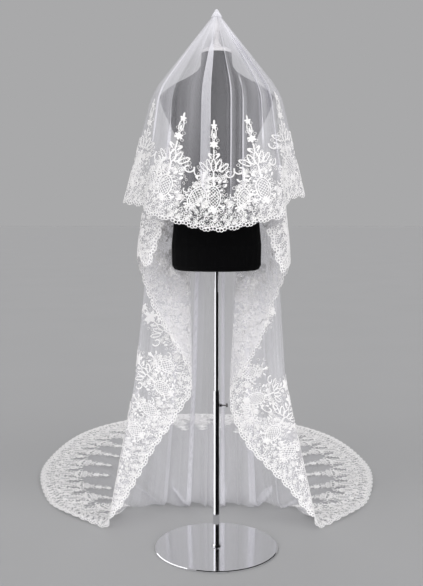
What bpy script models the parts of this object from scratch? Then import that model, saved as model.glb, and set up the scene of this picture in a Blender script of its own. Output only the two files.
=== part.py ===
"""Two-tier cathedral bridal veil with a lace border, laid over a limbless dress form on its stand.

Metres, +Z up. The origin is the centre of the base plate's underside, and the front of the dress
form faces -Y. Each tier is one sheet of tulle. Its shape is worked out column by column: a column
runs from the gathered head down over the shoulders to the hem, and the tables below say where the
columns pass. The lace borders are made from the same columns, moved out from the tulle.
"""
import math

import bmesh
import bpy
import numpy as np
from collections import namedtuple

# Stand
BASE_RADIUS = 0.191
BASE_THICK = 0.006
FLANGE_RADIUS = 0.0155
FLANGE_HEIGHT = 0.008
LOWER_TUBE_RADIUS = 0.010
LOWER_TUBE_BORE = 0.0075
LOWER_TUBE_TOP = 0.494
UPPER_TUBE_RADIUS = 0.007
UPPER_TUBE_FOOT = 0.430
CLAMP_HEIGHT = 0.448
BOSS_RADIUS = 0.0055
BOSS_LENGTH = 0.0062
SCREW_REACH = 0.0342

# Dress form
TORSO_BOTTOM = 0.862
NECK_TOP = 1.498
NECK_RADIUS = 0.044
CAP_RISE = 0.019
FINIAL_TOP = 1.6003

# Veil
PEAK_HEIGHT = 1.6243
RING_HEIGHT = 1.600
TAIL_RING_RADIUS = 0.0112
FRONT_RING_RADIUS = 0.0148
SHOULDER_HEIGHT = 1.385
HIP_HEIGHT = 0.93
KNEE_HEIGHT = 0.50
FLOOR_CLEARANCE = 0.0013
SHOULDER_WIDTH_TAIL = 0.1815
SHOULDER_DEPTH_TAIL = 0.105
SHOULDER_WIDTH_FRONT = 0.188
SHOULDER_DEPTH_FRONT = 0.113
CLOTH_THICK = 0.0016
LACE_THICK = 0.0010
LACE_GAP = 0.0014
SEWN_GAP = 0.0004
BEND_SPAN = 0.08
BEND_HEIGHTS = (1.50, 1.415, 1.375, 1.33)
SEAM_HEIGHT = 0.06

# Fineness of the cloth: columns for each row of a table, rows above the lace, points down a line
FRONT_COLUMN_COUNTS = (3, 3, 3, 4, 4) + (3,) * 4 + (4, 4, 3, 3, 3)
CASCADE_COLUMN_COUNTS = (3, 4, 4, 4, 4, 4, 2, 2, 2, 3)
TRAIN_COLUMN_COUNTS = (8,) + (6,) * 6 + (8,)
MIDDLE_ROWS = 5
TRAIN_UPPER_ROWS = 5
LINE_POINTS = 140
ROUNDING_SAMPLES = 13

# Lace border
LACE_ZONE = 0.33
SPIRE_SPACING = 0.17
SCALLOP_SPACING = 0.085
SCALLOP_DEPTH = 0.007
LACE_ROWS = (0.0, 0.18, 0.36, 0.52)
SPIRE_LOW = 0.60
SPIRE_STEP = 0.012
SPIRE_HIGH = 1.0
LEAST_SHARE = 0.10

# Assembly
GAP = 0.0003
SEAM_GAP = 0.00065

# Where the columns of a tier pass, from its left front edge round the back to its right front edge.
# fan: angle round the head, 0 at the front and 180 at the back, degrees.
# hip, knee, floor: the column's place in plan at those heights.
# hem: height of the hem, zero where the tail runs out over the floor to its edge (run).
Column = namedtuple("Column", "name fan hip_x hip_y knee_x knee_y floor_x floor_y hem run_x run_y")

TAIL_COLUMNS = [
    Column("left edge", 44, -0.155, -0.082, -0.157, -0.082, -0.157, -0.082, 1.004, 0, 0),
    Column("left first layer", 54, -0.195, -0.084, -0.198, -0.084, -0.198, -0.084, 0.877, 0, 0),
    Column("left outer fold", 65, -0.232, -0.048, -0.240, -0.048, -0.240, -0.048, 0.905, 0, 0),
    Column("left second layer", 80, -0.193, 0.004, -0.202, 0.000, -0.202, 0.000, 0.760, 0, 0),
    Column("left second layer low", 97, -0.140, 0.050, -0.134, 0.036, -0.132, 0.030, 0.645, 0, 0),
    Column("left inner fold", 112, -0.080, 0.092, -0.072, 0.078, -0.072, 0.070, 0.498, 0, 0),
    Column("left third layer", 122, -0.122, 0.114, -0.120, 0.098, -0.118, 0.088, 0.395, 0, 0),
    Column("left third layer mid", 129, -0.163, 0.129, -0.182, 0.110, -0.200, 0.100, 0.290, 0, 0),
    Column("left third layer low", 135, -0.194, 0.141, -0.226, 0.120, -0.262, 0.110, 0.185, 0, 0),
    Column("left third layer foot", 141, -0.211, 0.151, -0.250, 0.128, -0.312, 0.120, 0.092, 0, 0),
    Column("left silhouette fold", 148, -0.214, 0.164, -0.260, 0.142, -0.356, 0.140, 0, -0.366, 0.147),
    Column("left sweep", 156, -0.190, 0.178, -0.234, 0.184, -0.322, 0.250, 0, -0.600, 0.400),
    Column("left side", 163, -0.146, 0.187, -0.178, 0.212, -0.240, 0.322, 0, -0.700, 0.900),
    Column("left corner", 171, -0.078, 0.193, -0.094, 0.232, -0.125, 0.326, 0, -0.535, 1.480),
    Column("back centre", 180, 0.000, 0.196, -0.004, 0.242, -0.010, 0.318, 0, -0.040, 1.705),
    Column("right corner", 189, 0.076, 0.193, 0.088, 0.232, 0.108, 0.326, 0, 0.440, 1.440),
    Column("right side", 197, 0.138, 0.187, 0.156, 0.212, 0.210, 0.322, 0, 0.622, 0.900),
    Column("right sweep", 204, 0.176, 0.178, 0.200, 0.184, 0.292, 0.250, 0, 0.545, 0.405),
    Column("right silhouette fold", 212, 0.194, 0.164, 0.222, 0.142, 0.332, 0.140, 0, 0.342, 0.147),
    Column("right third layer foot", 219, 0.190, 0.154, 0.214, 0.128, 0.290, 0.120, 0.085, 0, 0),
    Column("right third layer low", 225, 0.172, 0.146, 0.192, 0.120, 0.238, 0.110, 0.155, 0, 0),
    Column("right third layer mid", 231, 0.141, 0.136, 0.148, 0.111, 0.165, 0.100, 0.225, 0, 0),
    Column("right third layer", 238, 0.103, 0.124, 0.080, 0.106, 0.080, 0.092, 0.320, 0, 0),
    Column("right inner fold", 250, 0.064, 0.108, 0.040, 0.084, 0.036, 0.074, 0.465, 0, 0),
    Column("right second layer low", 263, 0.134, 0.054, 0.112, 0.030, 0.108, 0.024, 0.600, 0, 0),
    Column("right second layer", 280, 0.168, 0.004, 0.172, 0.000, 0.172, 0.000, 0.752, 0, 0),
    Column("right outer fold", 295, 0.214, -0.048, 0.222, -0.048, 0.222, -0.048, 0.880, 0, 0),
    Column("right first layer", 306, 0.186, -0.084, 0.190, -0.084, 0.190, -0.084, 0.862, 0, 0),
    Column("right edge", 316, 0.146, -0.082, 0.148, -0.082, 0.148, -0.082, 0.985, 0, 0),
]
LEFT_FOLD = 10
RIGHT_FOLD = 18

FRONT_COLUMNS = [
    Column("left back edge", 104, -0.250, 0.040, -0.32, 0.045, -0.32, 0.045, 1.105, 0, 0),
    Column("left lobe", 90, -0.300, -0.005, -0.38, -0.005, -0.38, -0.005, 1.064, 0, 0),
    Column("left lobe front", 76, -0.262, -0.080, -0.34, -0.10, -0.34, -0.10, 1.054, 0, 0),
    Column("left tuck", 64, -0.212, -0.118, -0.25, -0.13, -0.25, -0.13, 1.046, 0, 0),
    Column("left panel fold", 56, -0.212, -0.160, -0.25, -0.20, -0.25, -0.20, 1.030, 0, 0),
    Column("left panel", 40, -0.148, -0.190, -0.19, -0.24, -0.19, -0.24, 1.010, 0, 0),
    Column("left of middle", 22, -0.082, -0.200, -0.12, -0.26, -0.12, -0.26, 0.994, 0, 0),
    Column("middle", 2, -0.010, -0.208, -0.01, -0.27, -0.01, -0.27, 0.978, 0, 0),
    Column("right of middle", -20, 0.060, -0.202, 0.09, -0.26, 0.09, -0.26, 0.988, 0, 0),
    Column("right panel", -40, 0.128, -0.190, 0.17, -0.24, 0.17, -0.24, 1.004, 0, 0),
    Column("right panel fold", -56, 0.198, -0.160, 0.24, -0.20, 0.24, -0.20, 1.020, 0, 0),
    Column("right tuck", -64, 0.198, -0.118, 0.24, -0.13, 0.24, -0.13, 1.050, 0, 0),
    Column("right lobe front", -76, 0.244, -0.080, 0.31, -0.10, 0.31, -0.10, 1.074, 0, 0),
    Column("right lobe", -90, 0.286, -0.005, 0.35, -0.005, 0.35, -0.005, 1.080, 0, 0),
    Column("right back edge", -104, 0.238, 0.040, 0.30, 0.045, 0.30, 0.045, 1.112, 0, 0),
]

# Soft waves added to a tier: waves per table row, and their height at shoulder, hip and floor.
Wave = namedtuple("Wave", "per_row shoulder hip floor")
TAIL_WAVE = Wave(1.0, 0.001, 0.007, 0.012)
CASCADE_WAVE = Wave(0.5, 0.0, 0.002, 0.002)
FRONT_WAVE = Wave(0.5, 0.001, 0.012, 0.012)

# Dress form, bottom to top: half width, depth in front and depth behind at each height.
Section = namedtuple("Section", "height half_width front back")
TORSO_SECTIONS = [
    Section(TORSO_BOTTOM, 0.118, 0.086, 0.086),
    Section(0.8655, 0.1275, 0.0945, 0.0945),
    Section(0.876, 0.1335, 0.099, 0.099),
    Section(0.937, 0.1345, 0.101, 0.102),
    Section(1.005, 0.128, 0.096, 0.100),
    Section(1.080, 0.112, 0.086, 0.084),
    Section(1.165, 0.0995, 0.080, 0.072),
    Section(1.220, 0.107, 0.094, 0.076),
    Section(1.270, 0.127, 0.110, 0.084),
    Section(1.310, 0.147, 0.096, 0.080),
    Section(1.350, 0.163, 0.076, 0.072),
    Section(1.373, 0.169, 0.064, 0.064),
    Section(1.386, 0.158, 0.059, 0.060),
    Section(1.408, 0.128, 0.054, 0.058),
    Section(1.430, 0.082, 0.049, 0.052),
    Section(1.446, 0.058, 0.046, 0.049),
    Section(1.462, 0.047, 0.045, 0.046),
    Section(NECK_TOP, NECK_RADIUS, NECK_RADIUS, NECK_RADIUS),
]
TORSO_SEGMENTS = 28

# Thumb screw, from the boss outwards: half sizes across and along its wing at each distance.
WingSection = namedtuple("WingSection", "reach half_y half_z")


def clear_scene():
    """Removes every object, so that the script starts from nothing."""
    for item in list(bpy.data.objects):
        bpy.data.objects.remove(item, do_unlink=True)


def material(name, colour, roughness, metallic, alpha=1.0):
    """A Principled material."""
    finish = bpy.data.materials.new(name)
    finish.use_nodes = True
    shader = finish.node_tree.nodes["Principled BSDF"]
    shader.inputs["Base Color"].default_value = (*colour, 1.0)
    shader.inputs["Roughness"].default_value = roughness
    shader.inputs["Metallic"].default_value = metallic
    shader.inputs["Alpha"].default_value = alpha
    return finish


def add_object(name, points, faces, finish, smooth=True):
    """Makes an object from points and faces, with its faces turned out."""
    mesh = bpy.data.meshes.new(name)
    mesh.from_pydata([tuple(point) for point in points], [], faces)
    work = bmesh.new()
    work.from_mesh(mesh)
    bmesh.ops.recalc_face_normals(work, faces=work.faces)
    if work.calc_volume(signed=True) < 0:
        bmesh.ops.reverse_faces(work, faces=work.faces)
    work.to_mesh(mesh)
    work.free()
    mesh.materials.append(finish)
    if smooth:
        mesh.shade_smooth()
        mesh.set_sharp_from_angle(angle=math.radians(40))
    item = bpy.data.objects.new(name, mesh)
    bpy.context.scene.collection.objects.link(item)
    return item


def grid_faces(rows, columns, first=0, closed=False):
    """Quads of a grid of points that is stored row by row."""
    around = columns if closed else columns - 1
    return [(first + r * columns + c, first + r * columns + (c + 1) % columns,
             first + (r + 1) * columns + (c + 1) % columns, first + (r + 1) * columns + c)
            for r in range(rows - 1) for c in range(around)]


def loft(name, rings, finish):
    """A closed body through rings of equal point counts, with a flat face at each end."""
    count = len(rings[0])
    faces = grid_faces(len(rings), count, closed=True)
    faces.append(tuple(range(count)))
    faces.append(tuple(range((len(rings) - 1) * count, len(rings) * count)))
    return add_object(name, np.concatenate(rings), faces, finish)


def turned(name, profile, finish, segments=24, flutes=0, flute_depth=0.0):
    """A body turned about Z from (radius, height) pairs, with shallow flutes if asked for."""
    angles = np.arange(segments) * 2 * math.pi / segments
    rings = []
    for radius, height in profile:
        radii = radius * (1.0 + flute_depth * np.cos(flutes * angles))
        rings.append(np.stack([radii * np.cos(angles), radii * np.sin(angles),
                               np.full(segments, height)], axis=1))
    return loft(name, rings, finish)


def tube(name, outer, inner, low, high, finish, segments=20):
    """An open tube about Z."""
    angles = np.arange(segments) * 2 * math.pi / segments
    corners = [(outer, low), (outer, high), (inner, high), (inner, low)]
    rings = [np.stack([r * np.cos(angles), r * np.sin(angles), np.full(segments, z)], axis=1)
             for r, z in corners]
    faces = grid_faces(len(rings), segments, closed=True)
    last = (len(rings) - 1) * segments
    faces += [(last + c, last + (c + 1) % segments, (c + 1) % segments, c) for c in range(segments)]
    return add_object(name, np.concatenate(rings), faces, finish)


def catmull_rom(values, where):
    """Smooth values between the rows of a table, read at fractional row numbers."""
    values = np.asarray(values, float)
    last = len(values) - 1
    start = np.clip(np.floor(where).astype(int), 0, last - 1)
    t = where - start
    padded = np.concatenate([[2 * values[0] - values[1]], values, [2 * values[-1] - values[-2]]])
    a, b, c, d = (padded[start + k] for k in range(4))
    return 0.5 * (2 * b + (c - a) * t + (2 * a - 5 * b + 4 * c - d) * t ** 2
                  + (3 * b - a - 3 * c + d) * t ** 3)


def rounded(lines, lengths, span):
    """Rounds the bends of dense lines: each point becomes the average over a span of its line.

    Past an end, the line is continued by its own reflection through the end, which stays in place.
    """
    total = np.zeros_like(lines)
    shifts = np.linspace(-span / 2, span / 2, ROUNDING_SAMPLES)
    ends = lengths[:, -1:]
    for shift in shifts:
        down = lengths + shift
        inside = np.where(down < 0, -down, np.where(down > ends, 2 * ends - down, down))
        points = read_lines(lines, lengths, inside)
        before = 2 * lines[:, :1] - points
        after = 2 * lines[:, -1:] - points
        total += np.where((down < 0)[..., None], before,
                          np.where((down > ends)[..., None], after, points))
    return total / len(shifts)


class Tier:
    """One tier of the veil, as a surface over (row of its table, distance down the column)."""

    def __init__(self, table, facing, ring_radius, shoulder_width, shoulder_depth):
        self.table = table
        self.facing = facing
        self.ring_radius = ring_radius
        self.shoulder_width = shoulder_width
        self.shoulder_depth = shoulder_depth

    def values(self, field, where):
        return catmull_rom([getattr(row, field) for row in self.table], where)

    def lines(self, where):
        """Dense lines down the columns to the floor and along it, and the distance along each."""
        fan = np.radians(self.values("fan", where))
        levels = [(RING_HEIGHT, -self.ring_radius * np.sin(fan), -self.ring_radius * np.cos(fan)),
                  (SHOULDER_HEIGHT, -self.shoulder_width * np.sin(fan),
                   -self.shoulder_depth * np.cos(fan))]
        for height, part in ((HIP_HEIGHT, "hip"), (KNEE_HEIGHT, "knee"), (0.0, "floor")):
            levels.append((height, self.values(part + "_x", where), self.values(part + "_y", where)))
        knots = np.stack([np.stack([x, y, np.full_like(x, height)], axis=1)
                          for height, x, y in levels], axis=1)
        knots[:, :, 2] = np.maximum(knots[:, :, 2], FLOOR_CLEARANCE)
        run_x, run_y = (catmull_rom([place[k] for place in self.runs()], where) for k in range(2))
        edge = np.stack([run_x, run_y, np.full_like(run_x, FLOOR_CLEARANCE)], axis=1)
        knots = np.concatenate([knots, edge[:, None]], axis=1)
        lines, lengths = resample(knots, LINE_POINTS)
        lines = rounded(lines, lengths, BEND_SPAN)
        return lines, measured(lines)

    def runs(self):
        """Where each column's line ends on the floor."""
        return [(row.run_x, row.run_y) if row.hem == 0 else (row.floor_x, row.floor_y)
                for row in self.table]

    def hem_lengths(self, where, lengths):
        """Length of each column down to the hem, smooth from row to row."""
        rows = np.arange(len(self.table), dtype=float)
        lines, along = self.lines(rows)
        cuts = [crossing(line[:, 2], line_along, row.hem) if row.hem else line_along[-1]
                for line, line_along, row in zip(lines, along, self.table)]
        floor_rows = [k for k, row in enumerate(self.table) if row.hem == 0]
        smooth = np.minimum(catmull_rom(cuts, where), lengths[:, -1])
        if not floor_rows:
            return smooth
        on_floor = (where >= floor_rows[0]) & (where <= floor_rows[-1])
        return np.where(on_floor, lengths[:, -1], smooth)

    def at(self, where, down):
        """Points of the bare surface, for each column at each of its distances down."""
        lines, lengths = self.lines(where)
        return read_lines(lines, lengths, down)

    def normals(self, where, down):
        """Outward directions of the bare surface."""
        step, reach = 0.03, 0.006
        last = len(self.table) - 1
        low = np.clip(where - step, 0, last)
        high = np.clip(where + step, 0, last)
        across = self.at(high, down) - self.at(low, down)
        along = self.at(where, down + reach) - self.at(where, np.maximum(down - reach, 0))
        normal = np.cross(along, across) * self.facing
        return normal / np.maximum(np.linalg.norm(normal, axis=2, keepdims=True), 1e-9)


def measured(lines):
    """Distance along each dense line."""
    steps = np.linalg.norm(np.diff(lines, axis=1), axis=2)
    return np.concatenate([np.zeros((len(lines), 1)), np.cumsum(steps, axis=1)], axis=1)


def read_lines(lines, lengths, down):
    """Points at the given distances along dense lines."""
    return np.stack([np.stack([np.interp(d, along, line[:, k]) for k in range(3)], axis=1)
                     for line, along, d in zip(lines, lengths, down)])


def resample(knots, count):
    """Evenly spaced points along lines of knots."""
    lengths = measured(knots)
    down = np.linspace(0, 1, count)[None, :] * lengths[:, -1:]
    lines = read_lines(knots, lengths, down)
    return lines, measured(lines)


def crossing(heights, along, height):
    """Distance down a line at which it passes a height."""
    return float(np.interp(-height, -heights, along))


def wave_height(wave, where, heights, ends):
    """Height of the soft waves: none at the head, growing to the hip and the floor."""
    strength = np.interp(-heights, [-RING_HEIGHT, -SHOULDER_HEIGHT, -HIP_HEIGHT, 0.0],
                         [0.0, wave.shoulder, wave.hip, wave.floor])
    fade = np.clip(np.minimum(where - ends[0], ends[1] - where), 0, 1)[:, None]
    return strength * fade * 0.5 * (1 - np.cos(2 * math.pi * wave.per_row * where))[:, None]


def waved(tier, wave, where, down, ends, flat=None):
    """Points and outward directions of a tier with its soft waves."""
    points = tier.at(where, down)
    normals = tier.normals(where, down)
    height = wave_height(wave, where, points[:, :, 2], ends)
    if flat is not None:
        height = height * flat
    return points + height[:, :, None] * normals, normals


def pulled_in(points, ends):
    """Draws the named sides of a grid in by half the seam gap, square to the side."""
    points = points.copy()
    for axis, index, inner in ends:
        side = np.take(points, index, axis=axis)
        towards = np.take(points, inner, axis=axis) - side
        direction = np.gradient(side, axis=0)
        direction /= np.maximum(np.linalg.norm(direction, axis=1, keepdims=True), 1e-9)
        towards -= np.sum(towards * direction, axis=1, keepdims=True) * direction
        towards /= np.linalg.norm(towards, axis=1, keepdims=True)
        moved = side + towards * SEAM_GAP / 2
        if axis == 0:
            points[index] = moved
        else:
            points[:, index] = moved
    return points


def shell(name, points, normals, low, high, finish):
    """A closed cloth wall between two offsets from a grid of points.

    Both faces of the wall, and the rims that meet at a seam, are split along the same diagonals, so
    that a twisted cell keeps its thickness.
    """
    columns, rows = points.shape[:2]
    outer = (points + normals * high).transpose(1, 0, 2).reshape(-1, 3)
    inner = (points + normals * low).transpose(1, 0, 2).reshape(-1, 3)
    count = rows * columns
    faces = []
    for a, b, c, d in grid_faces(rows, columns):
        faces += [(a, b, c), (a, c, d), (a + count, c + count, b + count),
                  (a + count, d + count, c + count)]
    last_row = count - columns
    rim = [(c, c + 1) for r in (0, last_row) for c in range(r, r + columns - 1)]
    rim += [(c, c + columns) for side in (0, columns - 1) for c in range(side, last_row, columns)]
    for here, following in rim:
        faces += [(here, following, following + count), (here, following + count, here + count)]
    return add_object(name, np.concatenate([outer, inner]), faces, finish)


def bend_rows(lines, lengths):
    """Distances down each column at which it passes the heights round the shoulder bend."""
    passes = [[crossing(line[:, 2], along, height) for height in BEND_HEIGHTS]
              for line, along in zip(lines, lengths)]
    return np.concatenate([np.zeros((len(lines), 1)), np.array(passes)], axis=1)


def rows_down(bends, end, lower):
    """Distances down each column: round the shoulder bend, evenly below it, then the lower rows.

    lower: distances of the lowest rows from the end, the largest first.
    """
    share = np.linspace(0, 1, MIDDLE_ROWS + 1)[None, 1:]
    start = bends[:, -1:]
    middle = start + share * (end[:, None] - lower[:, :1] - start)
    return np.concatenate([bends, middle, end[:, None] - lower[:, 1:]], axis=1)


def lace_rows(zone):
    """Distances from the hem of the rows that tulle and lace share, the largest first."""
    return zone[:, None] * np.array(sorted(LACE_ROWS, reverse=True))[None, :]


def scallops(along):
    """How far the lace edge stands back from the hem, between the points of its scallops."""
    return SCALLOP_DEPTH * (1 - np.abs(np.sin(math.pi * along / SCALLOP_SPACING)))


def spires(along):
    """Height of the lace, as a share of its zone, rising to a spire at each spacing."""
    phase = np.abs(((along / SPIRE_SPACING) % 1.0) - 0.5) * 2
    return SPIRE_LOW + (SPIRE_HIGH - SPIRE_LOW) * phase ** 1.5


def lace_down(zone, from_hem, along, rise):
    """Distances from the hem of the lace's rows, the spire edge first.

    from_hem gives the rows of the tulle above the shared ones. Where the spire edge is lower than
    such a row, the row is drawn in just under the edge. rise: share of the spires' full height.
    """
    edge = zone * (SPIRE_LOW + rise * (spires(along) - SPIRE_LOW))
    inner = [np.minimum(row, edge - SPIRE_STEP * (k + 1) * zone)
             for k, row in enumerate(from_hem.T)]
    shared = [zone * share for share in sorted(LACE_ROWS, reverse=True)]
    shared[-1] = np.minimum(scallops(along), 0.5 * shared[-2])
    return np.stack([edge] + inner + shared, axis=1)


def add_lace(name, points, normals, zone, finish, rise=1.0):
    """A lace border on the last rows of a panel, made from the panel's own points.

    It is sewn on along the hem, and stands off a little more above it and beside a sharp fold,
    where rise is less than one.
    """
    hem = points[:, -1]
    along = np.concatenate([[0], np.cumsum(np.linalg.norm(np.diff(hem, axis=0), axis=1))])
    lengths = measured(points)
    from_hem = lengths[:, -1:] - lengths
    shared_top = LACE_ROWS[-1] * zone
    inside = [k for k in range(points.shape[1])
              if np.all(from_hem[:, k] > 1.01 * shared_top)
              and np.mean(from_hem[:, k] < zone) > LEAST_SHARE]
    down = lengths[:, -1:] - lace_down(zone, from_hem[:, inside], along, rise)
    lace_points = read_lines(points, lengths, down)
    lace_normals = read_lines(normals, lengths, down)
    lace_normals /= np.linalg.norm(lace_normals, axis=2, keepdims=True)
    beside_fold = 1 - np.reshape(rise, (-1, 1, 1))
    sewn = np.arange(lace_points.shape[1])[None, :, None] == lace_points.shape[1] - 1
    low = CLOTH_THICK / 2 + np.where(sewn, SEWN_GAP, LACE_GAP) + beside_fold * LACE_GAP
    sides = [(0, 0, 1), (0, len(points) - 1, len(points) - 2)]
    return shell(name, pulled_in(lace_points, sides), lace_normals, low, low + LACE_THICK, finish)


def columns_between(first, counts):
    """Table positions from one row on, with the given count of columns in each row's stretch."""
    stretches = [first + k + np.arange(count) / count for k, count in enumerate(counts)]
    return np.concatenate(stretches + [[first + len(counts)]])


def add_front_tier(tulle, lace):
    """The short tier, over the face, with its lace border."""
    tier = Tier(FRONT_COLUMNS, 1, FRONT_RING_RADIUS, SHOULDER_WIDTH_FRONT, SHOULDER_DEPTH_FRONT)
    last = len(FRONT_COLUMNS) - 1
    where = columns_between(0, FRONT_COLUMN_COUNTS)
    lines, lengths = tier.lines(where)
    length = tier.hem_lengths(where, lengths)
    bends = bend_rows(lines, lengths)
    zone = np.minimum(LACE_ZONE, length - bends[:, -1])
    down = rows_down(bends, length, lace_rows(zone))
    points, normals = waved(tier, FRONT_WAVE, where, down, (0, last))
    shell("front_tier", points, normals, -CLOTH_THICK / 2, CLOTH_THICK / 2, tulle)
    add_lace("front_lace", points, normals, zone, lace)


def add_cascade(name, tier, first, counts, seam_side, tulle, lace):
    """One side of the tail, between its free edge and the silhouette fold."""
    where = columns_between(first, counts)
    lines, lengths = tier.lines(where)
    length = tier.hem_lengths(where, lengths)
    zone = np.full_like(length, LACE_ZONE)
    down = rows_down(bend_rows(lines, lengths), length, lace_rows(zone))
    points, normals = waved(tier, CASCADE_WAVE, where, down, (where[0], where[-1]))
    points = pulled_in(points, [(0, seam_side, -2 if seam_side else 1)])
    shell(name, points, normals, -CLOTH_THICK / 2, CLOTH_THICK / 2, tulle)
    add_lace(name + "_lace", points, normals, zone, lace)


def add_fall_and_train(tier, tulle, lace):
    """The middle of the tail: the fall down the back and the train on the floor.

    At each side both follow the straight edges of the cascade next to them, so the seam is even.
    """
    ends = (LEFT_FOLD, RIGHT_FOLD)
    fine = columns_between(LEFT_FOLD, TRAIN_COLUMN_COUNTS)
    coarse = fine[::2]
    lines, lengths = tier.lines(fine)
    length = tier.hem_lengths(fine, lengths)
    seam = np.array([crossing(line[:, 2], along, SEAM_HEIGHT) for line, along in zip(lines, lengths)])
    blend = np.clip(np.minimum(fine - ends[0], ends[1] - fine), 0, 1)
    seam = blend * seam + (1 - blend) * (length - LACE_ROWS[2] * LACE_ZONE)
    lower = np.array([LACE_ROWS[3] - LACE_ROWS[2], 0]) * np.full((len(coarse), 1), LACE_ZONE)
    down = rows_down(bend_rows(lines[::2], lengths[::2]), seam[::2], lower)
    points, normals = waved(tier, TAIL_WAVE, coarse, down, ends)
    edge_row = points[:, -1].copy()
    last = len(coarse) - 1
    foot = down.shape[1] - 1
    points = pulled_in(points, [(0, 0, 1), (0, last, last - 1), (1, foot, foot - 1)])
    shell("tail_fall", points, normals, -CLOTH_THICK / 2, CLOTH_THICK / 2, tulle)
    run = length - seam
    zone = np.minimum(LACE_ZONE, 0.5 / LACE_ROWS[-1] * run)
    lower = lace_rows(zone)
    share = np.linspace(0, 1, TRAIN_UPPER_ROWS)[None, :]
    rows = np.concatenate([share * (run[:, None] - lower[:, :1]), run[:, None] - lower[:, 1:]], axis=1)
    ease = 1 - 0.75 * (rows / run[:, None])
    points, normals = waved(tier, TAIL_WAVE, fine, seam[:, None] + rows, ends, flat=ease)
    corners = [0, TRAIN_UPPER_ROWS - 1, -1]
    straight = read_lines(points[:, corners], rows[:, corners], rows)
    straight_normals = read_lines(normals[:, corners], rows[:, corners], rows)
    ease_in = blend[:, None, None]
    points = ease_in * points + (1 - ease_in) * straight
    normals = ease_in * normals + (1 - ease_in) * straight_normals
    normals /= np.linalg.norm(normals, axis=2, keepdims=True)
    points[::2, 0] = edge_row
    points[1::2, 0] = 0.5 * (edge_row[1:] + edge_row[:-1])
    last = len(fine) - 1
    points = pulled_in(points, [(0, 0, 1), (0, last, last - 1), (1, 0, 1)])
    shell("train", points, normals, -CLOTH_THICK / 2, CLOTH_THICK / 2, tulle)
    beside_fold = np.minimum(fine - ends[0], ends[1] - fine)
    add_lace("train_lace", points, normals, zone, lace, rise=np.clip(beside_fold - 1, 0, 1))


def add_tail(tulle, lace):
    """The long tier: a cascade at each side, the fall down the back and the train."""
    tier = Tier(TAIL_COLUMNS, -1, TAIL_RING_RADIUS, SHOULDER_WIDTH_TAIL, SHOULDER_DEPTH_TAIL)
    add_cascade("cascade_left", tier, 0, CASCADE_COLUMN_COUNTS, -1, tulle, lace)
    add_cascade("cascade_right", tier, RIGHT_FOLD, CASCADE_COLUMN_COUNTS[::-1], 0, tulle, lace)
    add_fall_and_train(tier, tulle, lace)


def add_gathered_head(tulle):
    """The gathered and stitched head of both tiers, on the tip of the finial."""
    foot = RING_HEIGHT + 2 * GAP + 0.0004
    profile = [(0.0150, foot), (0.0158, foot + 0.0012), (0.0110, foot + 0.0090),
               (0.0068, foot + 0.0170), (0.0045, PEAK_HEIGHT - 0.0022),
               (0.0018, PEAK_HEIGHT)]
    turned("gathered_head", profile, tulle, segments=24, flutes=8, flute_depth=0.05)


def add_torso(jersey):
    """The limbless dress form, one smooth body from hip to neck."""
    angles = np.arange(TORSO_SEGMENTS) * 2 * math.pi / TORSO_SEGMENTS
    rings = []
    for section in TORSO_SECTIONS:
        depth = np.where(np.sin(angles) < 0, section.front, section.back)
        rings.append(np.stack([section.half_width * np.cos(angles), depth * np.sin(angles),
                               np.full(TORSO_SEGMENTS, section.height)], axis=1))
    loft("torso", rings, jersey)


def add_neck_cap(cap_finish, pale_finish):
    """The domed cap on the neck and the turned finial on it."""
    foot = NECK_TOP + GAP
    rim = NECK_RADIUS + 0.0015
    top = foot + CAP_RISE
    turned("neck_cap", [(rim, foot), (rim, foot + 0.003), (0.94 * rim, foot + 0.008),
                        (0.72 * rim, foot + 0.014), (0.40 * rim, top - 0.0012), (0.33 * rim, top)],
           cap_finish, segments=28)
    seat = top + GAP
    profile = [(0.0130, seat), (0.0130, seat + 0.005), (0.0095, seat + 0.008),
               (0.0072, seat + 0.015), (0.0066, seat + 0.022), (0.0080, seat + 0.032),
               (0.0095, seat + 0.036), (0.0060, seat + 0.040), (0.0090, seat + 0.045),
               (0.0105, seat + 0.053), (0.0088, seat + 0.061), (0.0050, seat + 0.067),
               (0.0036, seat + 0.074), (0.0020, FINIAL_TOP)]
    turned("finial", profile, pale_finish, segments=14)


def add_stand(chrome):
    """Base plate, flange, telescopic tube and the clamp that holds its height."""
    turned("base_plate", [(BASE_RADIUS - 0.001, 0.0), (BASE_RADIUS, 0.001),
                          (BASE_RADIUS, BASE_THICK - 0.002), (BASE_RADIUS - 0.002, BASE_THICK)],
           chrome, segments=40)
    flange_foot = BASE_THICK + GAP
    flange_top = flange_foot + FLANGE_HEIGHT
    turned("base_flange", [(FLANGE_RADIUS, flange_foot), (FLANGE_RADIUS, flange_foot + 0.003),
                           (0.0125, flange_foot + 0.006), (0.0112, flange_top)], chrome)
    tube("lower_tube", LOWER_TUBE_RADIUS, LOWER_TUBE_BORE, flange_top + GAP, LOWER_TUBE_TOP, chrome)
    turned("upper_tube", [(UPPER_TUBE_RADIUS, UPPER_TUBE_FOOT),
                          (UPPER_TUBE_RADIUS, TORSO_BOTTOM - GAP)], chrome, segments=20)


def across(angles, reach, half_y, half_z):
    """A ring of points across the X axis at the height of the clamp."""
    return np.stack([np.full(len(angles), reach), half_y * np.cos(angles),
                     CLAMP_HEIGHT + half_z * np.sin(angles)], axis=1)


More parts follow.
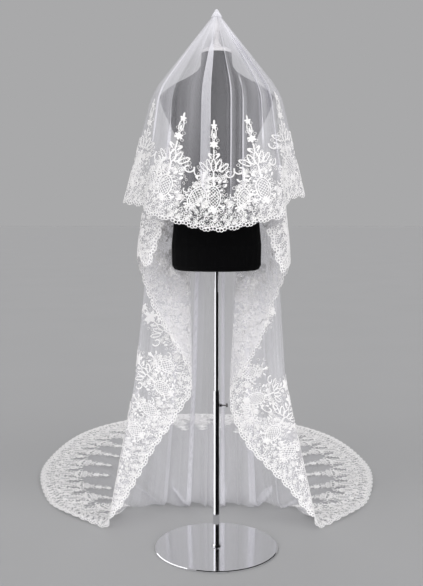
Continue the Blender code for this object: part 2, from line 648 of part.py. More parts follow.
def add_clamp(chrome, steel):
    """The boss on the lower tube and the thumb screw that turns in it."""
    angles = np.arange(12) * 2 * math.pi / 12
    foot = LOWER_TUBE_RADIUS + GAP
    end = foot + BOSS_LENGTH
    loft("clamp_boss", [across(angles, foot, BOSS_RADIUS, BOSS_RADIUS),
                        across(angles, end - 0.001, BOSS_RADIUS, BOSS_RADIUS),
                        across(angles, end, BOSS_RADIUS - 0.001, BOSS_RADIUS - 0.001)], chrome)
    start = end + GAP
    sections = [WingSection(start, 0.0034, 0.0034), WingSection(start + 0.0016, 0.0038, 0.0038),
                WingSection(start + 0.0020, 0.0019, 0.0019), WingSection(0.0292, 0.0019, 0.0019),
                WingSection(0.0302, 0.0024, 0.0058), WingSection(0.0328, 0.0024, 0.0064),
                WingSection(SCREW_REACH, 0.0014, 0.0054)]
    loft("clamp_screw", [across(angles, s.reach, s.half_y, s.half_z) for s in sections], steel)


def main():
    clear_scene()
    tulle = material("White nylon tulle", (0.86, 0.86, 0.90), 0.7, 0.0)
    lace = material("White corded lace", (0.95, 0.95, 0.95), 0.8, 0.0)
    jersey = material("Black cotton jersey", (0.012, 0.012, 0.012), 0.85, 0.0)
    chrome = material("Chromed steel", (0.80, 0.80, 0.82), 0.10, 1.0)
    steel = material("Plated steel screw", (0.62, 0.62, 0.64), 0.22, 1.0)
    cap_finish = material("White lacquered wood cap", (0.85, 0.85, 0.86), 0.35, 0.0)
    pale_finish = material("White lacquered wood finial", (0.86, 0.86, 0.88), 0.35, 0.0)
    add_stand(chrome)
    add_clamp(chrome, steel)
    add_torso(jersey)
    add_neck_cap(cap_finish, pale_finish)
    add_gathered_head(tulle)
    add_front_tier(tulle, lace)
    add_tail(tulle, lace)


main()
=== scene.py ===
"""Dresses the solid model of a bridal veil on its dress form: tulle, corded lace, metal and light.

Metres, +Z up, front of the dress form towards -Y. The cloth follows the same tables of columns as
the solids under it, with finer folds. The lace is needlework drawn flat, along and up from the hem,
and then laid on the cloth.
"""

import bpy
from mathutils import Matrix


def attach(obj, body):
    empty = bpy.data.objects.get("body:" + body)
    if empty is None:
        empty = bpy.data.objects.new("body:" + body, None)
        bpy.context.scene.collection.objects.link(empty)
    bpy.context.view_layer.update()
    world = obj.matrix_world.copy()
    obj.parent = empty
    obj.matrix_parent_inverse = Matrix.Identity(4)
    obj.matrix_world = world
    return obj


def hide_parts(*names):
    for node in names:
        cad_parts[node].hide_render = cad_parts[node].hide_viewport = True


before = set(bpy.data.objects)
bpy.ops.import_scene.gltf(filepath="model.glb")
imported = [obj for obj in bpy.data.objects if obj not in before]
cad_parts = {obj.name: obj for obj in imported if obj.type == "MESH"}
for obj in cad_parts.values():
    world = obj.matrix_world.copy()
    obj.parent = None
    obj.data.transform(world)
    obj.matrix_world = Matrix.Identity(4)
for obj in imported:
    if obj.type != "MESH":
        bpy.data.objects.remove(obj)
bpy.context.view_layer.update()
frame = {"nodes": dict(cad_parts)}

import logging
import math
from dataclasses import dataclass, field
from enum import Enum
from typing import NamedTuple, Sequence

import bpy
import numpy as np
from bpy.types import Material, Node, NodeSocket, NodeTree, Object
from mathutils import Vector

LOG = logging.getLogger("veil")
BODY = "stand"
MM_PER_M = 1000
# The wave texture passes through this angle for each unit of its scale.
WAVE_RADIANS = 20

RING_HEIGHT = 1.600
SHOULDER_HEIGHT = 1.385
HIP_HEIGHT = 0.93
KNEE_HEIGHT = 0.50
# Height of the cloth where it lies on the floor, and the least height of any thread.
FLOOR_CLEARANCE = 0.0013
FLOOR_GAP = 0.0008
# A column is rounded at its bends by a mean over this length.
BEND_SPAN = 0.08
LINE_POINTS = 260
ROUNDING_SAMPLES = 13
# Points at the end of a line that give the way on past it.
END_POINTS = 5
# Cloth lower than LYING_HEIGHT lies on the floor. From CALM_START out from the pole its waves grow
# lower over CALM_REACH, by a share of CALM_SHARE.
LYING_HEIGHT = 0.012
CALM_START, CALM_REACH, CALM_SHARE = 0.35, 0.9, 0.75
# Lengths over which a pleat rises at its start and dies away at its end.
PLEAT_RISE, PLEAT_FADE = 0.10, 0.14
# The net is gathered where a sheet's columns run closer than OPEN_SPACING, by up to MOST_GATHERED
# times, and whitens by GATHER_POWER of that.
OPEN_SPACING, MOST_GATHERED, GATHER_POWER = 0.0022, 5.0, 0.7
# Most layers that a fold adds up to, judged over FOLD_COLUMNS to each side.
MOST_DOUBLED, FOLD_COLUMNS = 3.6, 4
# Guards against division by lengths of nothing.
LEAST_LENGTH, LEAST_SPACING, LEAST_STEP = 1e-9, 1e-6, 1e-5
# Crowding of the net in the stitched head.
HEAD_CROWDING = 9.0
# The tulle ends this far inside the edge of its lace, in millimetres.
CUT_MARGIN = 4.0


class Column(NamedTuple):
    """Where one column of a tier passes, from the gathered head to the hem.

    fan is the angle round the head, 0 at the front and 180 at the back, in degrees; hip, knee and
    floor are its places in plan at those heights; hem is the height of the hem, zero where the tier
    runs out over the floor to its edge.
    """

    name: str
    fan: float
    hip_x: float
    hip_y: float
    knee_x: float
    knee_y: float
    floor_x: float
    floor_y: float
    hem: float
    run_x: float
    run_y: float


class Wave(NamedTuple):
    """Soft waves between two rows of a table: waves per row, and their height by level."""

    first: float
    last: float
    per_row: float
    shoulder: float
    hip: float
    floor: float


class Fold(NamedTuple):
    """A pleat that runs down from the head and doubles back on itself.

    centre and half_width are in rows of the table, curl is how far the cloth turns back, lift is its
    height in metres at the hip, and start and end are distances down from the head.
    """

    name: str
    centre: float
    half_width: float
    curl: float
    lift: float
    start: float
    end: float
    gather: float = 1.3


TAIL_COLUMNS = [
    Column("left edge", 44, -0.155, -0.082, -0.157, -0.082, -0.157, -0.082, 1.004, 0, 0),
    Column("left first layer", 54, -0.195, -0.084, -0.198, -0.084, -0.198, -0.084, 0.877, 0, 0),
    Column("left outer fold", 65, -0.232, -0.048, -0.240, -0.048, -0.240, -0.048, 0.905, 0, 0),
    Column("left second layer", 80, -0.193, 0.004, -0.202, 0.000, -0.202, 0.000, 0.760, 0, 0),
    Column("left second layer low", 97, -0.140, 0.050, -0.134, 0.036, -0.132, 0.030, 0.645, 0, 0),
    Column("left inner fold", 112, -0.080, 0.092, -0.072, 0.078, -0.072, 0.070, 0.498, 0, 0),
    Column("left third layer", 122, -0.122, 0.114, -0.120, 0.098, -0.118, 0.088, 0.395, 0, 0),
    Column("left third layer mid", 129, -0.163, 0.129, -0.182, 0.110, -0.200, 0.100, 0.290, 0, 0),
    Column("left third layer low", 135, -0.194, 0.141, -0.226, 0.120, -0.262, 0.110, 0.185, 0, 0),
    Column("left third layer foot", 141, -0.211, 0.151, -0.250, 0.128, -0.312, 0.120, 0.092, 0, 0),
    Column("left silhouette fold", 148, -0.214, 0.164, -0.260, 0.142, -0.356, 0.140, 0, -0.366, 0.147),
    Column("left sweep", 156, -0.190, 0.178, -0.234, 0.184, -0.322, 0.250, 0, -0.600, 0.400),
    Column("left side", 163, -0.146, 0.187, -0.178, 0.212, -0.240, 0.322, 0, -0.700, 0.900),
    Column("left corner", 171, -0.078, 0.193, -0.094, 0.232, -0.125, 0.326, 0, -0.535, 1.480),
    Column("back centre", 180, 0.000, 0.196, -0.004, 0.242, -0.010, 0.318, 0, -0.040, 1.705),
    Column("right corner", 189, 0.076, 0.193, 0.088, 0.232, 0.108, 0.326, 0, 0.440, 1.440),
    Column("right side", 197, 0.138, 0.187, 0.156, 0.212, 0.210, 0.322, 0, 0.622, 0.900),
    Column("right sweep", 204, 0.176, 0.178, 0.200, 0.184, 0.292, 0.250, 0, 0.545, 0.405),
    Column("right silhouette fold", 212, 0.194, 0.164, 0.222, 0.142, 0.332, 0.140, 0, 0.342, 0.147),
    Column("right third layer foot", 219, 0.190, 0.154, 0.214, 0.128, 0.290, 0.120, 0.085, 0, 0),
    Column("right third layer low", 225, 0.172, 0.146, 0.192, 0.120, 0.238, 0.110, 0.155, 0, 0),
    Column("right third layer mid", 231, 0.141, 0.136, 0.148, 0.111, 0.165, 0.100, 0.225, 0, 0),
    Column("right third layer", 238, 0.103, 0.124, 0.080, 0.106, 0.080, 0.092, 0.320, 0, 0),
    Column("right inner fold", 250, 0.064, 0.108, 0.040, 0.084, 0.036, 0.074, 0.465, 0, 0),
    Column("right second layer low", 263, 0.134, 0.054, 0.112, 0.030, 0.108, 0.024, 0.600, 0, 0),
    Column("right second layer", 280, 0.168, 0.004, 0.172, 0.000, 0.172, 0.000, 0.752, 0, 0),
    Column("right outer fold", 295, 0.214, -0.048, 0.222, -0.048, 0.222, -0.048, 0.880, 0, 0),
    Column("right first layer", 306, 0.186, -0.084, 0.190, -0.084, 0.190, -0.084, 0.862, 0, 0),
    Column("right edge", 316, 0.146, -0.082, 0.148, -0.082, 0.148, -0.082, 0.985, 0, 0),
]
# Rows where the cascades' lace ends, and where the train's two stretches of lace meet.
LEFT_FOLD = 10
TRAIN_MIDDLE = 14
RIGHT_FOLD = 18
TAIL_LAST = len(TAIL_COLUMNS) - 1

FRONT_COLUMNS = [
    Column("left back edge", 104, -0.250, 0.040, -0.32, 0.045, -0.32, 0.045, 1.105, 0, 0),
    Column("left lobe", 90, -0.300, -0.005, -0.38, -0.005, -0.38, -0.005, 1.064, 0, 0),
    Column("left lobe front", 76, -0.262, -0.080, -0.34, -0.10, -0.34, -0.10, 1.054, 0, 0),
    Column("left tuck", 64, -0.212, -0.118, -0.25, -0.13, -0.25, -0.13, 1.046, 0, 0),
    Column("left panel fold", 56, -0.212, -0.160, -0.25, -0.20, -0.25, -0.20, 1.030, 0, 0),
    Column("left panel", 40, -0.148, -0.190, -0.19, -0.24, -0.19, -0.24, 1.010, 0, 0),
    Column("left of middle", 22, -0.082, -0.200, -0.12, -0.26, -0.12, -0.26, 0.994, 0, 0),
    Column("middle", 2, -0.010, -0.208, -0.01, -0.27, -0.01, -0.27, 0.978, 0, 0),
    Column("right of middle", -20, 0.060, -0.202, 0.09, -0.26, 0.09, -0.26, 0.988, 0, 0),
    Column("right panel", -40, 0.128, -0.190, 0.17, -0.24, 0.17, -0.24, 1.004, 0, 0),
    Column("right panel fold", -56, 0.198, -0.160, 0.24, -0.20, 0.24, -0.20, 1.020, 0, 0),
    Column("right tuck", -64, 0.198, -0.118, 0.24, -0.13, 0.24, -0.13, 1.050, 0, 0),
    Column("right lobe front", -76, 0.244, -0.080, 0.31, -0.10, 0.31, -0.10, 1.074, 0, 0),
    Column("right lobe", -90, 0.286, -0.005, 0.35, -0.005, 0.35, -0.005, 1.080, 0, 0),
    Column("right back edge", -104, 0.238, 0.040, 0.30, 0.045, 0.30, 0.045, 1.112, 0, 0),
]

FRONT_WAVES = [Wave(0, 14, 0.5, 0.001, 0.012, 0.012)]
TAIL_WAVES = [
    Wave(0, LEFT_FOLD, 0.5, 0.0, 0.002, 0.002),
    Wave(LEFT_FOLD, RIGHT_FOLD, 1.0, 0.001, 0.007, 0.012),
    Wave(RIGHT_FOLD, TAIL_LAST, 0.5, 0.0, 0.002, 0.002),
]

FRONT_FOLDS = [
    Fold("left shoulder spear", 4.95, 0.28, 0.62, 0.007, 0.30, 0.56, 3.2),
    Fold("left of middle pleat", 6.66, 0.78, 0.66, 0.006, 0.02, 0.62),
    Fold("middle crease", 7.66, 0.18, 0.66, 0.004, 0.02, 0.62, 5.0),
    Fold("right of middle crease", 8.16, 0.18, 0.66, 0.004, 0.18, 0.62, 4.5),
    Fold("right crease", 9.10, 0.18, 0.66, 0.004, 0.02, 0.44, 6.0),
    Fold("right pleat", 10.0, 0.80, 0.64, 0.007, 0.02, 0.56, 4.0),
    Fold("left side crease", 3.35, 0.22, 0.60, 0.004, 0.05, 0.50, 2.4),
]
TAIL_FOLDS = [
    Fold("left fall pleat", 12.55, 0.30, 0.62, 0.008, 0.10, 1.95),
    Fold("left of middle pleat", 13.25, 0.30, 0.62, 0.008, 0.10, 1.95, 3.0),
    Fold("left of middle crease", 13.80, 0.12, 0.62, 0.006, 0.10, 1.85),
    Fold("middle pleat", 14.28, 0.26, 0.62, 0.008, 0.10, 1.95, 2.2),
    Fold("right of middle crease", 14.72, 0.11, 0.62, 0.005, 0.10, 1.85),
    Fold("right fall pleat", 15.2, 0.46, 0.62, 0.009, 0.10, 1.95, 3.4),
    Fold("right side crease", 16.10, 0.16, 0.62, 0.006, 0.10, 1.90),
]


def catmull_rom(values: Sequence[float], where: np.ndarray) -> np.ndarray:
    """Smooth values between the rows of a table.

    Args:
        values: one value for each row.
        where: fractional row numbers.

    Returns:
        The value at each of them.
    """
    rows = np.asarray(values, float)
    last = len(rows) - 1
    start = np.clip(np.floor(where).astype(int), 0, last - 1)
    t = where - start
    padded = np.concatenate([[2 * rows[0] - rows[1]], rows, [2 * rows[-1] - rows[-2]]])
    a, b, c, d = (padded[start + k] for k in range(4))
    return 0.5 * (2 * b + (c - a) * t + (2 * a - 5 * b + 4 * c - d) * t ** 2
                  + (3 * b - a - 3 * c + d) * t ** 3)


def unit(vectors: np.ndarray) -> np.ndarray:
    """Vectors brought to a length of one."""
    return vectors / np.maximum(np.linalg.norm(vectors, axis=-1, keepdims=True), LEAST_LENGTH)


def measured(lines: np.ndarray) -> np.ndarray:
    """Distance along each dense line."""
    steps = np.linalg.norm(np.diff(lines, axis=1), axis=2)
    return np.concatenate([np.zeros((len(lines), 1)), np.cumsum(steps, axis=1)], axis=1)


def running_total(rates: np.ndarray) -> np.ndarray:
    """Sum of a rate over the fine columns, from zero at the first."""
    return np.concatenate([[0], np.cumsum(0.5 * (rates[1:] + rates[:-1]))])


def read_lines(lines: np.ndarray, lengths: np.ndarray, down: np.ndarray) -> np.ndarray:
    """Reads dense lines, which go on straight past their ends.

    Args:
        lines: the lines' points.
        lengths: distance along each line.
        down: distances at which they are read.

    Returns:
        The points at those distances.
    """
    found = np.stack([np.stack([np.interp(d, along, line[:, k]) for k in range(3)], axis=1)
                      for line, along, d in zip(lines, lengths, down)])
    way = unit(lines[:, -1] - lines[:, -1 - END_POINTS])
    past = np.maximum(down - lengths[:, -1:], 0)
    return found + past[:, :, None] * way[:, None, :]


@dataclass
class Tier:
    """One tier of the veil as a surface over its table's rows and the distance from the head.

    facing is 1 where the columns go round anticlockwise seen from above, and -1 otherwise.
    """

    table: list[Column]
    facing: int
    ring_radius: float
    shoulder_width: float
    shoulder_depth: float
    waves: list[Wave]
    folds: list[Fold]
    columns: int
    step: float = 0.008
    past_hem: float = 0.05
    least_lift: float = 0.05
    rows: np.ndarray = field(init=False)
    hem: np.ndarray = field(init=False)
    points: np.ndarray = field(init=False)
    plain: np.ndarray = field(init=False)
    plain_normals: np.ndarray = field(init=False)
    lift: np.ndarray = field(init=False)
    gathers: np.ndarray = field(init=False)
    spread: np.ndarray = field(init=False)

    def __post_init__(self) -> None:
        """Works out the surface once, as a fine grid, plain and with its pleats."""
        self.rows = np.linspace(0, len(self.table) - 1, self.columns)
        lines, lengths = self.lines(self.rows)
        self.hem = self.hem_lengths(lengths)
        down = np.arange(0, self.hem.max() + self.past_hem, self.step)
        base = read_lines(lines, lengths, np.tile(down, (self.columns, 1)))
        normals = self.directions(base)
        waved = base + self.wave_height(base)[:, :, None] * normals
        self.plain, self.plain_normals = waved, self.directions(waved)
        self.spread = np.linalg.norm(np.gradient(waved, axis=0), axis=2)
        self.fold(down)

    def lines(self, where: np.ndarray) -> tuple[np.ndarray, np.ndarray]:
        """Dense lines down the columns to the floor and along it.

        Args:
            where: fractional rows of the table.

        Returns:
            The lines' points, and the distance along each.
        """
        def read(column: str) -> np.ndarray:
            """One column of the table at each of the rows."""
            return catmull_rom([getattr(row, column) for row in self.table], where)

        fan = np.radians(read("fan"))
        levels = [(RING_HEIGHT, -self.ring_radius * np.sin(fan), -self.ring_radius * np.cos(fan)),
                  (SHOULDER_HEIGHT, -self.shoulder_width * np.sin(fan),
                   -self.shoulder_depth * np.cos(fan))]
        for height, part in ((HIP_HEIGHT, "hip"), (KNEE_HEIGHT, "knee"), (FLOOR_CLEARANCE, "floor")):
            levels.append((height, read(part + "_x"), read(part + "_y")))
        knots = [np.stack([x, y, np.full_like(x, height)], axis=1) for height, x, y in levels]
        ends = [(row.run_x, row.run_y) if row.hem == 0 else (row.floor_x, row.floor_y)
                for row in self.table]
        run = [catmull_rom([end[k] for end in ends], where) for k in range(2)]
        knots.append(np.stack([*run, np.full_like(run[0], FLOOR_CLEARANCE)], axis=1))
        corners = np.stack(knots, axis=1)
        lengths = measured(corners)
        even = np.linspace(0, 1, LINE_POINTS)[None, :] * lengths[:, -1:]
        lines = read_lines(corners, lengths, even)
        lengths = measured(lines)
        total = np.zeros_like(lines)
        finish = lengths[:, -1:]
        for shift in np.linspace(-BEND_SPAN / 2, BEND_SPAN / 2, ROUNDING_SAMPLES):
            along = lengths + shift
            inside = np.where(along < 0, -along, np.where(along > finish, 2 * finish - along, along))
            found = read_lines(lines, lengths, inside)
            total += np.where((along < 0)[..., None], 2 * lines[:, :1] - found,
                              np.where((along > finish)[..., None], 2 * lines[:, -1:] - found, found))
        lines = total / ROUNDING_SAMPLES
        return lines, measured(lines)

    def hem_lengths(self, lengths: np.ndarray) -> np.ndarray:
        """Length of each fine column down to the hem.

        Args:
            lengths: distances along the fine columns' lines.

        Returns:
            One length for each column.
        """
        whole = np.arange(len(self.table), dtype=float)
        lines, along = self.lines(whole)
        cuts = [float(np.interp(-row.hem, -line[:, 2], way)) if row.hem else way[-1]
                for line, way, row in zip(lines, along, self.table)]
        smooth = np.minimum(catmull_rom(cuts, self.rows), lengths[:, -1])
        floor_rows = [k for k, row in enumerate(self.table) if row.hem == 0]
        if not floor_rows:
            return smooth
        lying = (self.rows >= floor_rows[0]) & (self.rows <= floor_rows[-1])
        return np.where(lying, lengths[:, -1], smooth)

    def directions(self, points: np.ndarray) -> np.ndarray:
        """Outward directions of a grid of points."""
        return unit(np.cross(np.gradient(points, axis=1), np.gradient(points, axis=0)) * self.facing)

    def wave_height(self, points: np.ndarray) -> np.ndarray:
        """Height of the soft waves, low where the cloth lies down.

        Args:
            points: the grid of points without waves.

        Returns:
            The height at each point.
        """
        total = np.zeros(points.shape[:2])
        heights = points[:, :, 2]
        for wave in self.waves:
            inside = (self.rows >= wave.first) & (self.rows <= wave.last)
            strength = np.interp(-heights, [-RING_HEIGHT, -SHOULDER_HEIGHT, -HIP_HEIGHT, 0.0],
                                 [0.0, wave.shoulder, wave.hip, wave.floor])
            fade = np.clip(np.minimum(self.rows - wave.first, wave.last - self.rows), 0, 1)
            shape = 0.5 * (1 - np.cos(math.tau * wave.per_row * self.rows))
            total += strength * (fade * shape * inside)[:, None]
        lying = np.clip((LYING_HEIGHT - heights) / LYING_HEIGHT, 0, 1)
        out = np.maximum(np.hypot(points[:, :, 0], points[:, :, 1]) - CALM_START, 0)
        return total * (1 - CALM_SHARE * lying * np.clip(out / CALM_REACH, 0, 1))

    def fold(self, down: np.ndarray) -> None:
        """Doubles the surface back on itself along each pleat of the folds table.

        Args:
            down: distances down from the head of the grid's rows.
        """
        where = np.repeat(self.rows[:, None], len(down), axis=1)
        lift = np.zeros_like(where)
        gathers = np.ones_like(where)
        usual = np.median(self.spread[:, len(down) // 3])
        level = np.clip(self.spread / usual, self.least_lift, 1.0)
        for fold in self.folds:
            fade = (np.clip((down - fold.start) / PLEAT_RISE, 0, 1)
                    * np.clip((fold.end - down) / PLEAT_FADE, 0, 1))
            fade = fade * fade * (3 - 2 * fade)
            t = np.clip((self.rows - fold.centre) / fold.half_width, -1, 1)[:, None]
            where = where - fold.curl * fold.half_width * np.sin(math.pi * t) * fade[None, :]
            lift += fold.lift * np.sin(math.pi * t) * fade[None, :] * level
            inner = np.maximum(np.cos(math.pi * t), 0)
            gathers += fold.gather * inner * fade[None, :] * (abs(t) < 1)
        across = where / (len(self.table) - 1) * (self.columns - 1)
        along = np.repeat((down / self.step)[None, :], self.columns, axis=0)
        flat = grid_read(self.plain, across, along)
        out = grid_read(self.plain_normals, across, along)
        self.lift = np.maximum(lift, 0)[:, :, None]
        self.gathers = gathers[:, :, None]
        self.points = flat + lift[:, :, None] * out

    def read(self, grid: np.ndarray, rows: np.ndarray, down: np.ndarray) -> np.ndarray:
        """Values of one of the surface's grids at fractional rows and distances down."""
        return grid_read(grid, rows / (len(self.table) - 1) * (self.columns - 1), down / self.step)

    def over(self, rows: np.ndarray, down: np.ndarray, out: np.ndarray) -> np.ndarray:
        """Points at a height over the cloth, clear of its pleats.

        Args:
            rows: fractional rows of the table.
            down: distances down from the head.
            out: heights over the cloth.

        Returns:
            The points.
        """
        normals = unit(self.read(self.plain_normals, rows, down))
        height = out[..., None] + self.read(self.lift, rows, down)
        points = self.read(self.plain, rows, down) + height * normals
        points[..., 2] = np.maximum(points[..., 2], FLOOR_GAP + np.maximum(out, 0))
        return points


def grid_read(grid: np.ndarray, across: np.ndarray, along: np.ndarray) -> np.ndarray:
    """Bilinear values of a grid.

    Args:
        grid: values by column and row.
        across: fractional columns.
        along: fractional rows, of the same shape.

    Returns:
        The value at each place.
    """
    a = np.clip(across, 0, grid.shape[0] - 1.001)
    b = np.clip(along, 0, grid.shape[1] - 1.001)
    i, j = a.astype(int), b.astype(int)
    s, t = (a - i)[..., None], (b - j)[..., None]
    return ((1 - s) * (1 - t) * grid[i, j] + s * (1 - t) * grid[i + 1, j]
            + (1 - s) * t * grid[i, j + 1] + s * t * grid[i + 1, j + 1])


def linear(hex_colour: str) -> tuple[float, float, float, float]:
    """A linear colour from an sRGB hex value such as "#F4F4F6"."""
    parts = [int(hex_colour[k:k + 2], 16) / 255 for k in (1, 3, 5)]
    return (*((c / 12.92 if c <= 0.04045 else ((c + 0.055) / 1.055) ** 2.4) for c in parts), 1.0)


def add_node(tree: NodeTree, kind: str, settings: dict | None = None,
             inputs: dict | None = None) -> Node:
    """Adds a node with its settings, input values and links.

    Args:
        tree: the material's or world's node tree.
        kind: Blender's name for the node.
        settings: attributes of the node.
        inputs: input names or numbers, with a value or the output socket to link.

    Returns:
        The node.
    """
    made = tree.nodes.new(kind)
    for name, value in (settings or {}).items():
        setattr(made, name, value)
    for name, value in (inputs or {}).items():
        if isinstance(value, NodeSocket):
            tree.links.new(value, made.inputs[name])
        else:
            made.inputs[name].default_value = value
    return made


def shader_of(name: str, values: dict[str, object]) -> tuple[Material, NodeTree, Node]:
    """Makes a material and sets its Principled shader.

    Args:
        name: the material's name.
        values: the shader's input names, with their values.

    Returns:
        The material, its node tree and the shader.
    """
    material = bpy.data.materials.new(name)
    material.use_nodes = True
    tree = material.node_tree
    shader = tree.nodes["Principled BSDF"]
    for socket, value in values.items():
        shader.inputs[socket].default_value = value
    return material, tree, shader


def mottle(tree: NodeTree, vector: NodeSocket, patch_mm: float, detail: float,
           tones: tuple[str, str]) -> None:
    """Colours a material with two close tones that mingle.

    Args:
        tree: the material's node tree.
        vector: where the pattern is read.
        patch_mm: size of a patch of one tone, in millimetres.
        detail: how many finer layers the pattern has.
        tones: both tones, as sRGB hex values.
    """
    pattern = add_node(tree, "ShaderNodeTexNoise", {}, {
        "Vector": vector, "Scale": MM_PER_M / patch_mm, "Detail": detail})
    shade = add_node(tree, "ShaderNodeMix", {"data_type": "RGBA"}, {
        "Factor": pattern.outputs[0], 6: linear(tones[0]), 7: linear(tones[1])})
    tree.links.new(shade.outputs[2], tree.nodes["Principled BSDF"].inputs["Base Color"])


@dataclass(frozen=True)
class NylonTulle:
    """Warp-knitted nylon net: threads too fine to see singly, so cloth over cloth grows whiter."""

    colour: str = "#F6F5FB"
    cover: float = 0.165
    cell_mm: float = 3.6
    streak_mm: tuple[float, float] = (111.1, 1111.0)
    roughness: float = 0.55

    def make(self) -> Material:
        """Builds the material.

        The real mesh has holes of about 1.2 mm. It is drawn three times coarser, so that it shows in
        a close view. Streaks run down it where the cloth lies in soft creases.

        Returns:
            The material.
        """
        material, tree, shader = shader_of("Warp-knitted nylon tulle", {
            "Base Color": linear(self.colour), "Roughness": self.roughness, "IOR": 1.53,
            "Sheen Weight": 0.25, "Sheen Roughness": 0.4})
        cloth = add_node(tree, "ShaderNodeUVMap", {"uv_map": "cloth"})
        slant = math.sqrt(3) / 2
        ways = [(1.0, 0.0, 0.0), (0.5, slant, 0.0), (0.5, -slant, 0.0)]
        pitch = math.tau / (self.cell_mm / MM_PER_M) / slant
        total = None
        for way in ways:
            along = add_node(tree, "ShaderNodeVectorMath", {"operation": "DOT_PRODUCT"},
                             {0: cloth.outputs[0], 1: tuple(pitch * part for part in way)})
            wave = add_node(tree, "ShaderNodeMath", {"operation": "COSINE"},
                            {0: along.outputs["Value"]})
            total = wave.outputs[0] if total is None else add_node(
                tree, "ShaderNodeMath", {"operation": "ADD"},
                {0: total, 1: wave.outputs[0]}).outputs[0]
        threads = add_node(tree, "ShaderNodeMapRange", {"interpolation_type": "SMOOTHSTEP"},
                           {"Value": total, "From Min": 0.6, "From Max": -1.1,
                            "To Min": 0.55, "To Max": 1.75})
        fall = add_node(tree, "ShaderNodeUVMap", {"uv_map": "fall"})
        wide, long = (MM_PER_M / size for size in self.streak_mm)
        stretched = add_node(tree, "ShaderNodeMapping", {}, {"Vector": fall.outputs[0],
                                                             "Scale": (wide, long, 1.0)})
        streaks = add_node(tree, "ShaderNodeTexNoise", {"noise_dimensions": "2D"},
                           {"Vector": stretched.outputs[0], "Scale": 1.0, "Detail": 2.0})
        amount = add_node(tree, "ShaderNodeMapRange", {},
                          {"Value": streaks.outputs[0], "From Min": 0.3, "From Max": 0.7,
                           "To Min": 0.66, "To Max": 1.40})
        crowd = add_node(tree, "ShaderNodeAttribute", {"attribute_name": "crowding"})
        cover = crowd.outputs["Fac"]
        for operation, first in (("POWER", 1 - self.cover), ("SUBTRACT", 1.0),
                                 ("MULTIPLY", amount.outputs[0]),
                                 ("MULTIPLY", threads.outputs[0])):
            cover = add_node(tree, "ShaderNodeMath", {"operation": operation},
                             {0: first, 1: cover}).outputs[0]
        netted = add_node(tree, "ShaderNodeClamp", {}, {"Value": cover})
        tree.links.new(netted.outputs[0], shader.inputs["Alpha"])
        return material


@dataclass(frozen=True)
class CordedLace:
    """Polyester cord and satin stitch on net: raised, matt white, with a soft thread grain."""

    colour: str = "#FBFAF8"
    shade: str = "#EDEBEE"
    patch_mm: float = 16.67
    thread_mm: float = 1.1
    # painted glow: emission that brightens the lace where it lies in shade
    glow: float = 0.05

    def make(self) -> Material:
        """Builds the material. Its thread is drawn twice as thick as the real 0.5 mm one.

        The glow is painted light: it lifts lace that lies in shade, standing for light soaking through
        the threads from behind.

        Returns:
            The material.
        """
        material, tree, shader = shader_of("Corded polyester lace", {
            "Roughness": 0.62, "IOR": 1.5, "Sheen Weight": 0.2, "Sheen Roughness": 0.45,
            "Emission Color": linear(self.colour), "Emission Strength": self.glow})
        place = add_node(tree, "ShaderNodeTexCoord").outputs["Object"]
        mottle(tree, place, self.patch_mm, 2.0, (self.colour, self.shade))
        thread = add_node(tree, "ShaderNodeTexNoise", {}, {
            "Vector": place, "Scale": MM_PER_M / self.thread_mm, "Detail": 1.0})
        bump = add_node(tree, "ShaderNodeBump", {}, {"Strength": 0.35, "Distance": 0.0006,
                                                     "Height": thread.outputs[0]})
        tree.links.new(bump.outputs[0], shader.inputs["Normal"])
        return material


@dataclass(frozen=True)
class CottonJersey:
    """Black knitted cotton pulled tight over the form: matt, with a faint fuzz at its edges."""

    colour: str = "#060607"
    shade: str = "#0C0C0D"
    fuzz_mm: float = 2.4
    rib_mm: float = 2.0

    def make(self) -> Material:
        """Builds the material. Its ribs are twice as wide as the real 1 mm ones, so that they show.

        Returns:
            The material.
        """
        material, tree, shader = shader_of("Black cotton jersey", {
            "Roughness": 0.92, "IOR": 1.46, "Specular IOR Level": 0.08, "Sheen Weight": 0.01,
            "Sheen Roughness": 0.5})
        place = add_node(tree, "ShaderNodeTexCoord").outputs["Object"]
        mottle(tree, place, self.fuzz_mm, 2.0, (self.colour, self.shade))
        ribs = add_node(tree, "ShaderNodeTexWave", {"bands_direction": "X"}, {
            "Vector": place, "Scale": MM_PER_M / self.rib_mm / WAVE_RADIANS * math.pi,
            "Distortion": 0.4, "Detail": 1.0})
        bump = add_node(tree, "ShaderNodeBump", {}, {"Strength": 0.25, "Distance": 0.0005,
                                                     "Height": ribs.outputs["Fac"]})
        tree.links.new(bump.outputs[0], shader.inputs["Normal"])
        return material


@dataclass(frozen=True)
class ChromePlate:
    """Polished chromium on steel: a sharp mirror, a little duller where hands and dust touch it.

    low and high are its least and greatest roughness, and marks_mm the size of a polishing mark
    along X, Y and Z.
    """

    name: str
    colour: str
    low: float
    high: float
    marks_mm: tuple[float, float, float]

    def make(self) -> Material:
        """Builds the material, with faint polishing marks.

        Returns:
            The material.
        """
        material, tree, shader = shader_of(self.name, {"Base Color": linear(self.colour),
                                                       "Metallic": 1.0})
        place = add_node(tree, "ShaderNodeTexCoord")
        drawn = add_node(tree, "ShaderNodeMapping", {}, {
            "Vector": place.outputs["Object"],
            "Scale": tuple(MM_PER_M / size for size in self.marks_mm)})
        marks = add_node(tree, "ShaderNodeTexNoise", {}, {"Vector": drawn.outputs[0],
                                                          "Scale": 1.0, "Detail": 4.0})
        wear = add_node(tree, "ShaderNodeMapRange", {}, {"Value": marks.outputs[0],
                                                         "To Min": self.low, "To Max": self.high})
        tree.links.new(wear.outputs[0], shader.inputs["Roughness"])
        return material


